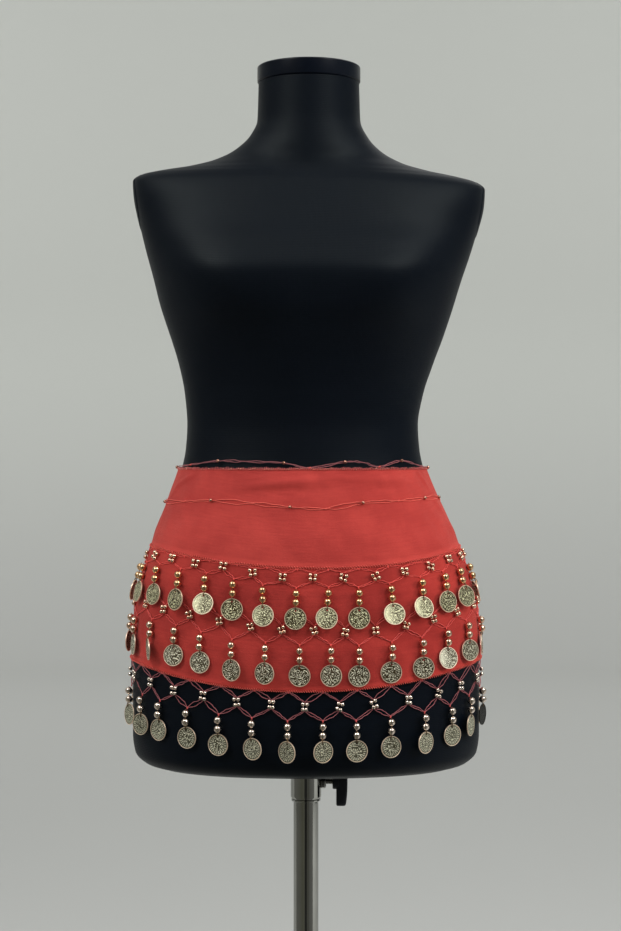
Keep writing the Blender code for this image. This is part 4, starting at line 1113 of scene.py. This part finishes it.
class MakeStand(bpy.types.Operator):
    """Makes the foot, the pole, the sleeve, the clamp collar with its screw, and the knob"""

    bl_idname = "hip_scarf.stand"
    bl_label = "Pole stand"

    def execute(self, context):
        self.foot()
        self.pole()
        self.sleeve()
        self.collar()
        self.knob()
        return {"FINISHED"}

    def chromed(self, name, profile, reach, node, body, ring=False, sides=112):
        """One turned and chromed piece that stands for a node. A ring's profile is a loop."""
        if ring:
            profile = softened((*profile, *profile[:2]), reach)[1:-1]
        else:
            profile = softened(profile, reach)
        Shell().add_turned(profile, sides, ring).make(name, "chrome", body, "chrome", 50, [node])

    def foot(self):
        """A round plate with a soft rim, a hub, and the socket that holds the pole."""
        bore = POLE_RADIUS + POLE_SEAT
        profile = (
            (0, 0), (FOOT_RADIUS - 1, 0), (FOOT_RADIUS, 1), (FOOT_RADIUS, FOOT_THICKNESS - 2.5),
            (FOOT_RADIUS - 3, FOOT_THICKNESS), (HUB_RADIUS + 5, FOOT_THICKNESS),
            (HUB_RADIUS, FOOT_THICKNESS + 5), (HUB_RADIUS, HUB_TOP - 2), (HUB_RADIUS - 2, HUB_TOP),
            (bore, HUB_TOP), (bore, HUB_TOP - SOCKET_DEPTH), (0, HUB_TOP - SOCKET_DEPTH),
        )
        self.chromed("weighted_foot", profile, 2.0, "foot", "stand", sides=160)

    def pole(self):
        """A plain rod from the socket up into the form."""
        low = HUB_TOP - SOCKET_DEPTH + SEAM_GAP
        high = WAIST_Z + POLE_TOP_RISE
        profile = ((0, low), (POLE_RADIUS, low), (POLE_RADIUS, high), (0, high))
        self.chromed("chrome_pole", profile, 0.8, "pole", "stand")

    def sleeve(self):
        """The thin liner between the pole and the collar, with a lip below."""
        low = COLLAR_TOP - COLLAR_LENGTH - SEAM_GAP
        foot, high = low - SLEEVE_LIP_HEIGHT, COLLAR_TOP - 2.0
        profile = (
            (SLEEVE_INNER, foot), (SLEEVE_LIP, foot), (SLEEVE_LIP, low),
            (SLEEVE_OUTER, low), (SLEEVE_OUTER, high), (SLEEVE_INNER, high),
        )
        self.chromed("liner_sleeve", profile, 0.5, "height_sleeve", "slider", ring=True)

    def collar(self):
        """The collar and its flange, with the boss that the screw runs in."""
        low, under = COLLAR_TOP - COLLAR_LENGTH, COLLAR_TOP - FLANGE_THICKNESS
        profile = (
            (COLLAR_INNER, low), (COLLAR_OUTER - 0.8, low), (COLLAR_OUTER, low + 2.0),
            (COLLAR_OUTER, under), (FLANGE_RADIUS, under),
            (FLANGE_RADIUS, COLLAR_TOP), (COLLAR_INNER, COLLAR_TOP),
        )
        self.chromed("collar", profile, 0.8, "clamp_collar", "form", ring=True)
        bore, start = SCREW_RADIUS + 0.3, COLLAR_INNER + 0.7
        boss = softened(
            ((bore, start), (BOSS_RADIUS, start), (BOSS_RADIUS, BOSS_REACH - 1.0),
             (BOSS_RADIUS - 1.0, BOSS_REACH), (bore, BOSS_REACH), (bore, start)),
            0.5,
        )
        shell = Shell().add_turned(boss[:-1], 64, ring=True, centre=SCREW_AXIS, sideways=True)
        shell.make("screw_boss", "chrome", "form", "chrome", 50)

    def knob(self):
        """A threaded shank whose radius waves with its length, a hub, and a bar whose outline
        is the superellipse |y/w|^2.6 + |z/l|^6 = 1, thinner towards its ends."""
        tip, end = SLEEVE_OUTER + SEAM_GAP, WING_HUB_START + 1.0
        reach = np.linspace(tip, end, 90)
        wave = SCREW_RADIUS - 0.25 + 0.25 * np.cos(TAU * reach / SCREW_PITCH)
        shank = np.stack([np.r_[0, wave, 0], np.r_[tip, reach, end]], axis=-1)
        shell = Shell().add_turned(shank, 32, centre=SCREW_AXIS, sideways=True)
        screw = shell.make("clamp_screw_thread", "chrome", "knob", "knob_plastic", 70)
        top = WING_START + 2.5
        hub = softened(
            ((0, WING_HUB_START), (WING_HUB_RADIUS - 0.8, WING_HUB_START),
             (WING_HUB_RADIUS, WING_HUB_START + 0.8), (WING_HUB_RADIUS + 0.3, top), (0, top)),
            0.6,
        )
        shell = Shell().add_turned(hub, 64, centre=SCREW_AXIS, sideways=True)
        a = np.arange(96) * TAU / 96
        y = np.sign(np.cos(a)) * np.abs(np.cos(a)) ** (2 / 2.6)
        z = np.sign(np.sin(a)) * np.abs(np.sin(a)) ** (2 / 6)
        rings = []
        for share, inset in WING_RINGS:
            x = WING_START + (WING_END - 1.6 * z**2 - WING_START) * share
            wide, tall = WING_HALF_WIDTH - inset, WING_HALF_LENGTH - inset
            rings.append(np.stack([x, wide * y, SCREW_AXIS[2] + tall * z], axis=-1))
        bar = np.stack(rings)
        bar[0] = bar[0].mean(axis=0)
        bar[-1] = bar[-1].mean(axis=0)
        shell.add_closed(bar)
        made = shell.make("wing_knob", "knob_black", "knob", "knob_plastic", 50)
        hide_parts("clamp_knob")
        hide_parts("clamp_knob")


def girth_run(level):
    """Turns and millimetres round the form at one level, with 0 at the front."""
    turns = np.linspace(-0.6, 0.6, 961)
    steps = np.linalg.norm(np.diff(skin(turns, level), axis=0), axis=1)
    run = np.r_[0.0, steps.cumsum()]
    return turns, run - np.interp(0.0, turns, run)


class MakeCloth(bpy.types.Operator):
    """Makes the panel and the overlay as thin sheets with soft folds"""

    bl_idname = "hip_scarf.cloth"
    bl_label = "Cloth"

    def execute(self, context):
        self.sheet("panel", hem_line, panel_lift, PANEL_DOWN, (1.03, 0.212))
        self.sheet("overlay", overlay_line, overlay_lift, OVERLAY_DOWN, (0.92, 0.092))
        return {"FINISHED"}

    def sheet(self, node, low_line, lift, rows, flat):
        """Rows run from the hem up to the top edge, closer together near both."""
        turns = np.linspace(-0.5, 0.5 + LAP_TURN, CLOTH_AROUND)
        share = np.linspace(0, 1, rows)
        share = share - 0.35 * np.sin(TAU * share) / TAU
        low = low_line(turns)
        rises = low + (TOP_RISE - low) * share[:, None]
        u = np.broadcast_to(np.interp(turns, *girth_run(CUT_LEVEL)), rises.shape)
        points = placed(turns, rises, lift(turns, rises))
        shell = Shell().add(points, uv=np.stack([u, rises - low], axis=-1) * MM)
        made = shell.make(f"scarf_{node}", f"{node}_chiffon", "form", "cloth", 180, [node])
        walled(made, 1.0, -1.0)


def walled(sheet, layers, offset):
    """Gives a sheet the thickness of its layers of cloth."""
    wall = sheet.modifiers.new("wall", "SOLIDIFY")
    wall.thickness = layers * bpy.context.scene.scarf_sizes.cloth
    wall.offset = offset


class MakeEdges(bpy.types.Operator):
    """Binds the three edges with looped thread, and adds the two loose chains and their beads"""

    bl_idname = "hip_scarf.edges"
    bl_label = "Edges and chains"

    def execute(self, context):
        # The last number of each binding and chain is its share of the dusty rose painted sheen.
        self.binding("upper_edge_binding", top_line, overlay_lift, 1.15, 1.1, 0.5)
        self.binding("overlay_hem_binding", overlay_line, overlay_lift, 0.95, 1.25, 0.0)
        self.binding("panel_hem_binding", hem_line, panel_lift, 0.8, 1.0, 0.0)
        self.seeds()
        self.chain("top_chain", TOP_CHAIN, 0.9, True, 0.72, 0.9)
        self.chain("low_chain", LOW_CHAIN, 2.1, False, 0.85, 0.0)
        return {"FINISHED"}

    def binding(self, name, line, lift, tall, spacing, faded):
        """A helix along an edge: the edge's point, plus tall * cos p up and 0.75 * sin p out,
        where p grows by a whole turn for each pitch. Three sine waves make it uneven."""
        turns, run = girth_run(CUT_LEVEL)
        begin, end = np.interp((-0.5, 0.5 + LAP_TURN), turns, run)
        pitch = spacing * 2 * radius_of("overlock_pitch")
        along = np.linspace(begin, end, int((end - begin) / pitch * LOOP_STEPS))
        turn = np.interp(along, run, turns)
        phase = TAU * along / pitch
        wobble = 0.6 * np.sin(along * 0.37) + 0.4 * np.sin(along * 0.113 + 1.0)
        wobble = wobble + 0.5 * np.sin(along * 0.83 + 2.0)
        rise = line(turn) + 0.3 * wobble + (tall + 0.3 * wobble) * np.cos(phase)
        path = placed(turn, rise, lift(turn, line(turn)) + 0.15 + 0.75 * np.sin(phase))
        radius = radius_of("overlock_thread")
        shell = Shell().add_threads(path, outward(turn, rise), radius, 4, faded)
        shell.make(name, "edge_thread", "form", "cloth", 80)

    def seeds(self):
        """Tiny beads sewn along the upper edge, with a gap missed out now and then."""
        turns, run = girth_run(0.0)
        rng = np.random.default_rng(11)
        along = np.arange(*np.interp((-0.49, 0.5), turns, run), SEED_PITCH)
        along = along + rng.uniform(-0.4, 0.4, len(along))
        along = along[rng.random(len(along)) > SEED_GAPS]
        turn = np.interp(along, run, turns)
        rise = TOP_RISE + rng.uniform(-1.0, 0.9, len(turn))
        centres = placed(turn, rise, overlay_lift(turn, rise) + 0.7)
        beads = balls(centres, radius_of("seed_bead"), 7, 5)
        shell = Shell().add_closed(beads, mark=rng.random(len(turn)))
        shell.make("upper_edge_beads", "rose_beads", "form", "coins")

    def chain(self, name, stops, spread, loose, weight, faded):
        """Two threads that meet at each bead or knot and bow apart between them, with small
        waves."""
        places = np.array([stop[:2] for stop in stops])
        kinds = np.array([stop[2] for stop in stops])
        turn, middle = smooth_path(places, CHAIN_STEPS).T
        share = np.arange(len(turn)) / CHAIN_STEPS
        bow = spread * np.abs(np.sin(math.pi * share)) ** 0.8
        bow = bow * (0.65 + 0.35 * np.sin(share * 2.3 + 0.7))
        radius = weight * radius_of("chain_thread")
        strands, normals = [], []
        for way in (-1, 1):
            wave = 0.28 * np.sin(share * 9.1 + 2 * way) + 0.2 * np.sin(share * 17.3 - way)
            rise = middle + way * bow + wave
            strands.append(self.resting(turn, rise, loose, radius + 0.3 * (1 + way)))
            normals.append(outward(turn, rise))
        shell = Shell().add_threads(np.stack(strands), np.stack(normals), radius, 6, faded)
        centres = self.resting(*places[kinds == "knot"].T, loose, 0.7)
        for shift, size in ((0.0, 1.0), (0.9, 0.75), (-0.8, 0.7)):
            moved = centres + np.array([shift, 0.0, 0.5 * shift])
            shell.add_closed(balls(moved, size, 8, 6, 0.8))
        shell.make(name + "_threads", "edge_thread", "form", "cloth", 80)
        ball = radius_of("chain_bead")
        centres = self.resting(*places[kinds == "bead"].T, loose, ball)
        mark = np.arange(len(centres)) * 0.37 % 1.0
        shell = Shell().add_closed(balls(centres, ball, 14, 10), mark=mark)
        shell.make(name + "_beads", "rose_beads", "form", "coins")

    def resting(self, turn, rise, loose, clear):
        """A point of a chain, clear of what it lies on: the cloth, or for a loose chain the
        form just above the upper edge."""
        lift = cloth_lift(turn, np.minimum(rise, TOP_RISE))
        if loose:
            above = eased((rise - TOP_RISE) / 6.0)
            lift = lift * (1 - above) + (0.55 * OVERLAY_LIFT + 0.4) * above
        return placed(turn, rise, lift + clear)


def listed(table, cells):
    """The table's row for each cell, counted from FIRST_CELL, and which cells it lists."""
    table = np.array(table)
    known = (cells >= FIRST_CELL) & (cells < FIRST_CELL + len(table))
    made = np.zeros((len(cells), table.shape[1]))
    made[known] = table[cells[known] - FIRST_CELL]
    return made, known


class Row:
    """The places of one net row's knots: distances round the form, and rises."""

    def __init__(self, values):
        data = dict(zip(ROW_COLUMNS, values))
        self.__dict__.update(data)
        self.line = hem_line if self.name == "lower" else overlay_line
        self.turns, self.run = girth_run(self.level)
        girth = np.ptp(np.interp((-0.5, 0.5), self.turns, self.run))
        pitch = girth / self.count
        start = self.phase * girth
        first = math.ceil((LAP_TURN + LAP_CLEAR_TURN - 0.5 - self.phase) * self.count)
        last = math.floor((LAP_TURN - LAP_CLEAR_TURN + 0.5 - self.phase) * self.count)
        cells = np.arange(first, last + 1)
        self.rng = np.random.default_rng(len(self.name) * 7)
        hang, known = listed(DROPS[self.name], cells)
        sway = np.where(known, 0.0, COIN_SWAY * np.sin(SWAY_STEP * cells + len(self.name)))
        # The last column is each coin's wear and painted light: painted glare near 1, painted shade
        # below 0.
        aside, up, self.swing, self.twist, self.roll, self.tip, self.wear = hang.T
        self.twist += sway
        self.roll -= 0.5 * sway
        self.wear += np.where(known, 0.0, PLAIN_WEAR + 0.03 * sway)
        self.at_anchor = start + cells * pitch
        self.at_drop = self.at_anchor + aside
        level = self.line(self.turn(self.at_anchor))
        self.anchor = level - data["anchor"]
        self.knot = level - data["knot"] + up
        even = start + (cells[:-1] + 0.5) * pitch
        shift, known = listed(CLUSTERS[self.name], cells[:-1])
        shift += np.where(known[:, None], 0.0, self.rng.uniform(-0.7, 0.7, shift.shape))
        self.at_cluster = even + shift[:, 0]
        self.cluster = self.line(self.turn(even)) - data["cluster"] + shift[:, 1]

    def turn(self, distance):
        """The turn at a distance round the form."""
        return np.interp(distance, self.run, self.turns)

    def under(self, turn, rise):
        """How far out the cloth or the form lies there."""
        return np.maximum(cloth_lift(turn, rise), BARE_LIFT)

    def hung(self, turn, rise, lift):
        """A placed point that may hang below the form's side."""
        points = placed(turn, np.maximum(rise, SHELF_RISE), lift)
        points[..., 2] = WAIST_Z + rise
        return points

    def drop(self, fall, lift):
        """The place that far below each drop's knot, aside by its share of the swing."""
        turn = self.turn(self.at_drop + self.swing * fall / DROP_REACH)
        return self.hung(turn, self.knot - fall, lift)


class MakeNets(bpy.types.Operator):
    """Makes three rows of knotted net with bead clusters, and drops of two beads and a coin"""

    bl_idname = "hip_scarf.nets"
    bl_label = "Coin nets"

    def execute(self, context):
        for values in ROWS:
            row = Row(values)
            self.threads(row)
            self.wires(row)
            self.clusters(row)
            self.beads(row)
            self.coins(row)
        return {"FINISHED"}

    def make(self, shell, part, row, look, sharp=40.0):
        """A piece of one row, which stands for both halves of its net."""
        nodes = [f"net_{row.name}_left", f"net_{row.name}_right"]
        shell.make(f"{part}_{row.name}", look, "form", "coins", sharp, nodes)

    def threads(self, row):
        """Double strands from each anchor to the clusters beside it, and on to the drops. A
        strand bows aside from its straight line by a sine of its share, and wanders a little."""
        top, low = (
            np.stack([row.at_cluster, row.cluster + way * CLUSTER_PORT], axis=-1) for way in (1, -1)
        )
        anchor = np.stack([row.at_anchor, row.anchor], axis=-1)
        knot = np.stack([row.at_drop, row.knot], axis=-1)
        begin = np.concatenate([anchor[:-1], anchor[1:], low, low])
        end = np.concatenate([top, top, knot[:-1], knot[1:]])
        bow = row.bow * row.rng.uniform(0.3, 1.5, len(begin))
        sag = row.rng.uniform(-0.5, 0.9, len(begin))
        begin, end = np.repeat(begin, 2, axis=0), np.repeat(end, 2, axis=0)
        side = np.tile([1.0, -1.0], len(bow)) * np.repeat(bow, 2) + 0.4 * np.repeat(sag, 2)
        share = np.linspace(0, 1, STRAND_STEPS)
        line = begin[:, None] + (end - begin)[:, None] * share[:, None]
        step = (end - begin) / np.linalg.norm(end - begin, axis=1, keepdims=True)
        across = np.stack([-step[:, 1], step[:, 0]], axis=-1)
        aside = side[:, None] * np.sin(math.pi * share) ** 0.9
        phase = row.rng.uniform(0, TAU, (2, len(side), 1))
        wander = np.sin(TAU * 1.6 * share + phase[0]) + 0.6 * np.sin(TAU * 3.1 * share + phase[1])
        aside = aside + 0.32 * wander * np.sin(math.pi * share)
        line = line + across[:, None] * aside[..., None]
        turn, rise = row.turn(line[..., 0]), line[..., 1]
        radius = row.thread * radius_of("thread")
        clear = radius + 0.25 + 0.25 * np.sign(side)[:, None]
        paths = row.hung(turn, rise, row.under(turn, rise) + clear)
        normals = outward(turn, np.maximum(rise, SHELF_RISE))
        shell = Shell().add_threads(paths, normals, radius, 5, row.dusty)
        self.ties(row, shell, row.turn(row.at_anchor), row.anchor, 0.84, radius + 0.3)
        self.ties(row, shell, row.turn(row.at_drop), row.knot, 0.96, radius + 0.3)
        self.make(shell, "net_threads", row, "net_thread", 80)

    def ties(self, row, shell, turn, rise, size, clear):
        """Small wrapped knots, each two flattened balls, at the anchors or above the drops."""
        lift = row.under(turn, rise) + clear
        for drop, part in ((0.0, 1.0), (1.1, 0.85)):
            tie = balls(row.hung(turn, rise - drop, lift), size * part, 8, 6, 0.8)
            shell.add_closed(tie, mark=row.dusty * 0.4)

    def wires(self, row):
        """The wire of each drop: down from the knot, through the beads, and over the coin's
        edge to its hole on both faces."""
        centre, down, wide, deep = self.coin_frames(row)
        radius, wall = radius_of("coin"), radius_of("coin_thickness")
        falls = [row.drop(fall, row.bead_lift) for fall in (WIRE_START, *BEAD_FALLS)]
        shell = Shell()
        for way in (-1, 1):
            face = deep * (wall + 0.5) * way
            edge = centre - down * (radius + 0.3) + face * 0.6
            over = centre - down * (radius - 1.2) + face
            hole = centre - down * (radius - HOLE_INSET) + face * 0.3
            path = np.stack([*falls, edge, over, hole], axis=1)
            shell.add_threads(path, np.repeat(deep[:, None], 6, axis=1), WIRE_RADIUS, 5)
        self.make(shell, "drop_wires", row, "dark_wire", 80)

    def clusters(self, row):
        """Four small beads round each crossing, the upper two a little further apart."""
        turn = row.turn(row.at_cluster)
        ball = radius_of("cluster_bead")
        lift = row.under(turn, row.cluster) + ball + 0.3
        angle = np.radians(row.rng.uniform(-22, 22, len(turn)))
        centres = []
        for across, up in BEAD_SPOTS:
            across, up = across * row.wide, up * row.tall
            slip = row.rng.uniform(-0.3, 0.3, (2, len(turn)))
            x = across * np.cos(angle) - up * np.sin(angle) + slip[0]
            z = across * np.sin(angle) + up * np.cos(angle) + slip[1]
            centres.append(row.hung(row.turn(row.at_cluster + x), row.cluster + z, lift))
        self.bead_piece(row, "bead_clusters", row.small_beads, centres, ball, 10, 6)

    def beads(self, row):
        """Two round beads above each coin."""
        centres = [row.drop(fall, row.bead_lift) for fall in BEAD_FALLS]
        self.bead_piece(row, "drop_beads", row.beads, centres, radius_of("bead"), 12, 8)

    def bead_piece(self, row, part, look, centres, ball, sides, rows):
        """Beads in one piece, each with a mark of its own."""
        beads = balls(np.concatenate(centres), ball, sides, rows)
        shell = Shell().add_closed(beads, mark=row.rng.random(len(beads)))
        self.make(shell, part, row, look)

    def coin_frames(self, row):
        """For each coin its centre and three unit directions: down, across and out of it.
        It follows the slope of the form, and is turned about its thread, rolled about its
        hole, and tipped so that its face looks up a little."""
        twist, roll, tip = np.radians([row.twist, row.roll, row.tip])[..., None]
        radius, wall = radius_of("coin"), radius_of("coin_thickness")
        lift = row.coin_clear + wall + radius * np.abs(np.sin(twist[:, 0]))
        upper, lower = row.drop(COIN_TOP, lift), row.drop(COIN_TOP + 2 * radius, lift)
        down = unit(lower - upper)
        turn = row.turn(row.at_drop + row.swing)
        normal = outward(turn, np.maximum(row.knot - COIN_TOP, SHELF_RISE))
        normal = unit(normal * (1.0, 1.0, 0.0))
        across = np.stack([-normal[:, 1], normal[:, 0], 0 * turn], axis=-1)
        wide = across * np.cos(twist) + normal * np.sin(twist)
        wide = unit(wide - down * (wide * down).sum(axis=1, keepdims=True))
        deep = np.cross(wide, -down)
        hole = upper + down * HOLE_INSET
        down, wide = swung(down, wide, roll)
        down, deep = swung(down, deep, tip)
        return hole + down * (radius - HOLE_INSET), down, wide, deep

    def coins(self, row):
        """A coin is a ring of circles that slide from its hole to its rim. Its half thickness
        is plain at the rim, dips inside it, and rises again in eight faint petals."""
        centre, down, wide, deep = (part[:, None, None] for part in self.coin_frames(row))
        radius, half = radius_of("coin"), radius_of("coin_thickness")
        a = np.arange(32) * TAU / 32
        share = np.array(COIN_CIRCLES)[:, None]
        size = radius_of("coin_hole") * (1 - share) + radius * share
        x = size * np.sin(a)
        z = size * np.cos(a) + (radius - HOLE_INSET) * (1 - share)
        r = np.hypot(x, z) / radius
        petal = 0.09 * np.cos(4 * np.arctan2(z, x)) ** 2
        petal = petal * (1 - eased((r - 0.35) / 0.3)) * eased(r / 0.2)
        wall = half * (0.62 + 0.38 * eased((r - 0.88) / 0.05)) + petal
        wall[0], wall[-1] = half * 0.5, half * 0.72
        x, y, z = (
            np.concatenate([front, back[::-1]])[..., None]
            for front, back in ((x, x), (wall, -wall), (z, z))
        )
        points = centre + wide * x + deep * y - down * z
        uv = np.concatenate([x, z], axis=-1) / radius
        # Each coin's mark is its wear and painted light, a little different for each coin.
        mark = row.wear + 0.002 * np.arange(len(row.wear))
        shell = Shell().add(points, around=True, along=True, uv=uv, mark=mark)
        self.make(shell, "coins", row, row.metal, 50)


class MakeClosure(bpy.types.Operator):
    """Makes the knot and the two tails at the back"""

    bl_idname = "hip_scarf.closure"
    bl_label = "Knot and tails"

    def execute(self, context):
        centre = placed(KNOT_TURN, KNOT_RISE, OVERLAY_LIFT + 0.4 + KNOT_HALF_SIZE[1])
        self.knot(centre)
        self.tail("right", -1.0, centre)
        self.tail("left", 1.0, centre)
        return {"FINISHED"}

    def knot(self, centre):
        """A squashed ball of pleats, radius 1 + 0.07 cos of a slanting angle, with a band of
        cloth round it: an ellipse on a tilted plane, thick where it crosses the front."""
        half = np.array(KNOT_HALF_SIZE)
        b = np.linspace(0, math.pi, 40)[:, None]
        a = np.arange(96) * TAU / 96
        pleat = 1 + (0.07 * np.cos(9 * a + 5 * b) + 0.04 * np.cos(17 * a - 7 * b)) * np.sin(b)
        ball = globe(39, 96) * pleat[..., None] * half * (0.92, 0.86, 0.9)
        uv = np.stack(np.meshgrid(np.linspace(0, 0.1, 97), np.linspace(0.01, 0.05, 40)), axis=-1)
        shell = Shell().add_closed(centre + ball, uv)
        t = np.arange(72)[:, None] * TAU / 72
        s = np.arange(20) * TAU / 20
        tilt = math.radians(62)
        ring = np.stack([np.cos(t) * math.cos(tilt), np.sin(t), np.cos(t) * math.sin(tilt)], -1)
        swell = 1 + 0.07 * np.cos(s)
        along = 5.0 * np.sin(s) * (1 + 0.12 * np.sin(5 * s))
        side = np.array([math.sin(tilt), 0.0, -math.cos(tilt)])
        band = ring * swell[:, None] * half * (0.98, 0.97, 1.0) + along[:, None] * side
        uv = np.stack(np.meshgrid(np.linspace(0.01, 0.03, 21), np.linspace(0, 0.1, 73)), axis=-1)
        shell.add(centre + band[:, ::-1], around=True, along=True, uv=uv)
        shell.make("tied_knot", "overlay_chiffon", "form", "cloth", 70, ["knot"])

    def tail(self, side, way, centre):
        """A strip that widens downwards in cosine pleats and ends on the slant."""
        share = np.linspace(0, 1, 60)[:, None]
        across = np.linspace(-0.5, 0.5, 80)
        width = TAIL_TOP_WIDTH + (TAIL_END_WIDTH - TAIL_TOP_WIDTH) * eased(share)
        fall = (TAIL_LENGTH + TAIL_POINT * across * way) * share
        wave = np.cos(across * TAU * TAIL_WAVES) + 0.25 * np.cos(across * TAU * 5.0 + share * 2.0)
        out = TAIL_LIFT + TAIL_WAVE_HEIGHT * (1 + wave * share)
        x = centre[0] + way * (8.0 + TAIL_SPREAD * share) + across * width
        rise = KNOT_RISE - KNOT_HALF_SIZE[2] + 2.0 - fall
        back = placed(0.5, rise, 0.0)[..., 1]
        bow = section("back", rise) * (1 - np.sqrt(1 - (x / section("half_width", rise)) ** 2))
        points = np.stack([x, back - bow + out, WAIST_Z + rise], axis=-1)
        shell = Shell().add(points, uv=np.stack([across * width, TAIL_LENGTH - fall], axis=-1) * MM)
        name, node = f"hanging_tail_{side}", f"tail_{side}"
        made = shell.make(name, "overlay_chiffon", "form", "cloth", 180, [node])
        walled(made, 2.0, 1.0)


class MakeStage(bpy.types.Operator):
    """Makes the pale floor and backdrop, the soft lamps and the camera"""

    bl_idname = "hip_scarf.stage"
    bl_label = "Stage"

    def execute(self, context):
        stage = context.scene.scarf_stage
        self.backdrop(stage.radius / MM)
        self.dim_card()
        for name, place, target, size, strength, share, gloss in LAMPS:
            self.lamp(name, place, target, size, getattr(stage, strength) * share, gloss)
        self.camera()
        world = bpy.data.worlds.new("soft_room")
        world.use_nodes = True
        sky = world.node_tree.nodes["Background"]
        sky.inputs["Color"].default_value = (0.96, 1.0, 0.98, 1.0)
        sky.inputs["Strength"].default_value = stage.sky
        context.scene.world = world
        context.scene.view_settings.view_transform = "Standard"
        return {"FINISHED"}

    def backdrop(self, radius):
        """A floor that curves up all round into a wall, as a profile turned round the pole."""
        bend = np.linspace(0, math.pi / 2, 24)
        reach = radius - FLOOR_BEND * (1 - np.cos(bend))
        rise = FLOOR_BEND * (1 - np.sin(bend))
        profile = np.stack([np.r_[radius, reach, 0], np.r_[BACKDROP_TOP, rise, 0]], axis=-1)
        shell = Shell().add(turned(profile, 96), around=True, poles=(False, True))
        shell.put("backdrop", "stage_paint")

    def dim_card(self):
        """A dim card on an arc behind the camera that shows only in gloss and polish."""
        turn = np.radians(np.linspace(*CARD_ARC, 84))
        reach, height = (side[:, None] for side in np.transpose(CARD_PROFILE))
        run = np.maximum(height, height + 3.1 - reach - 10.0 * (height < 1.0))
        points = (reach * np.sin(turn), -reach * np.cos(turn), height + 0 * turn)
        uv = np.stack(np.broadcast_arrays(turn, run), axis=-1)
        card = Shell().add(np.stack(points, axis=-1) / MM, uv=uv).put("dim_card", "card_paint")
        card.visible_camera = card.visible_diffuse = card.visible_shadow = False

    def lamp(self, name, place, target, size, strength, gloss):
        """A large square lamp, aimed at a point."""
        data = bpy.data.lights.new(name, "AREA")
        data.energy, data.shape, data.size = strength, "SQUARE", size
        lamp = bpy.data.objects.new(name, data)
        bpy.context.scene.collection.objects.link(lamp)
        lamp.location = place
        lamp.visible_glossy = gloss
        aim = Vector(target) - Vector(place)
        lamp.rotation_euler = aim.to_track_quat("-Z", "Y").to_euler()

    def camera(self):
        """A level camera that looks along +Y."""
        data = bpy.data.cameras.new("camera")
        data.lens = CAMERA_LENS
        data.clip_end = 60.0
        camera = bpy.data.objects.new("camera", data)
        camera.location = CAMERA_PLACE
        camera.rotation_euler = (math.pi / 2, 0.0, 0.0)
        bpy.context.scene.collection.objects.link(camera)
        bpy.context.scene.camera = camera


class ScarfPanel(bpy.types.Panel):
    """Lists the steps that finish the scarf, and its sizes and colours"""

    bl_idname = "VIEW3D_PT_hip_scarf"
    bl_label = "Hip Scarf"
    bl_space_type = "VIEW_3D"
    bl_region_type = "UI"
    bl_category = "Hip Scarf"

    def draw(self, context):
        for step in STEPS:
            self.layout.operator(step.bl_idname)
        for group in GROUPS:
            box = self.layout.box()
            for name in GROUPS[group].__annotations__:
                box.prop(getattr(context.scene, group), name)


STEPS = (MakeStage, MakeForm, MakeStand, MakeCloth, MakeEdges, MakeNets, MakeClosure)
GROUPS = {"scarf_sizes": ScarfSizes, "scarf_colours": ScarfColours, "scarf_stage": ScarfStage}


def register():
    for kind in (*GROUPS.values(), *STEPS, ScarfPanel):
        bpy.utils.register_class(kind)
    for name, kind in GROUPS.items():
        setattr(bpy.types.Scene, name, bpy.props.PointerProperty(type=kind))


def unregister():
    for name in GROUPS:
        delattr(bpy.types.Scene, name)
    for kind in reversed((*GROUPS.values(), *STEPS, ScarfPanel)):
        bpy.utils.unregister_class(kind)


def main():
    register()
    bpy.ops.hip_scarf.stage()
    bpy.ops.hip_scarf.form()
    bpy.ops.hip_scarf.stand()
    bpy.ops.hip_scarf.cloth()
    bpy.ops.hip_scarf.edges()
    bpy.ops.hip_scarf.nets()
    bpy.ops.hip_scarf.closure()


if __name__ == "__main__":
    main()
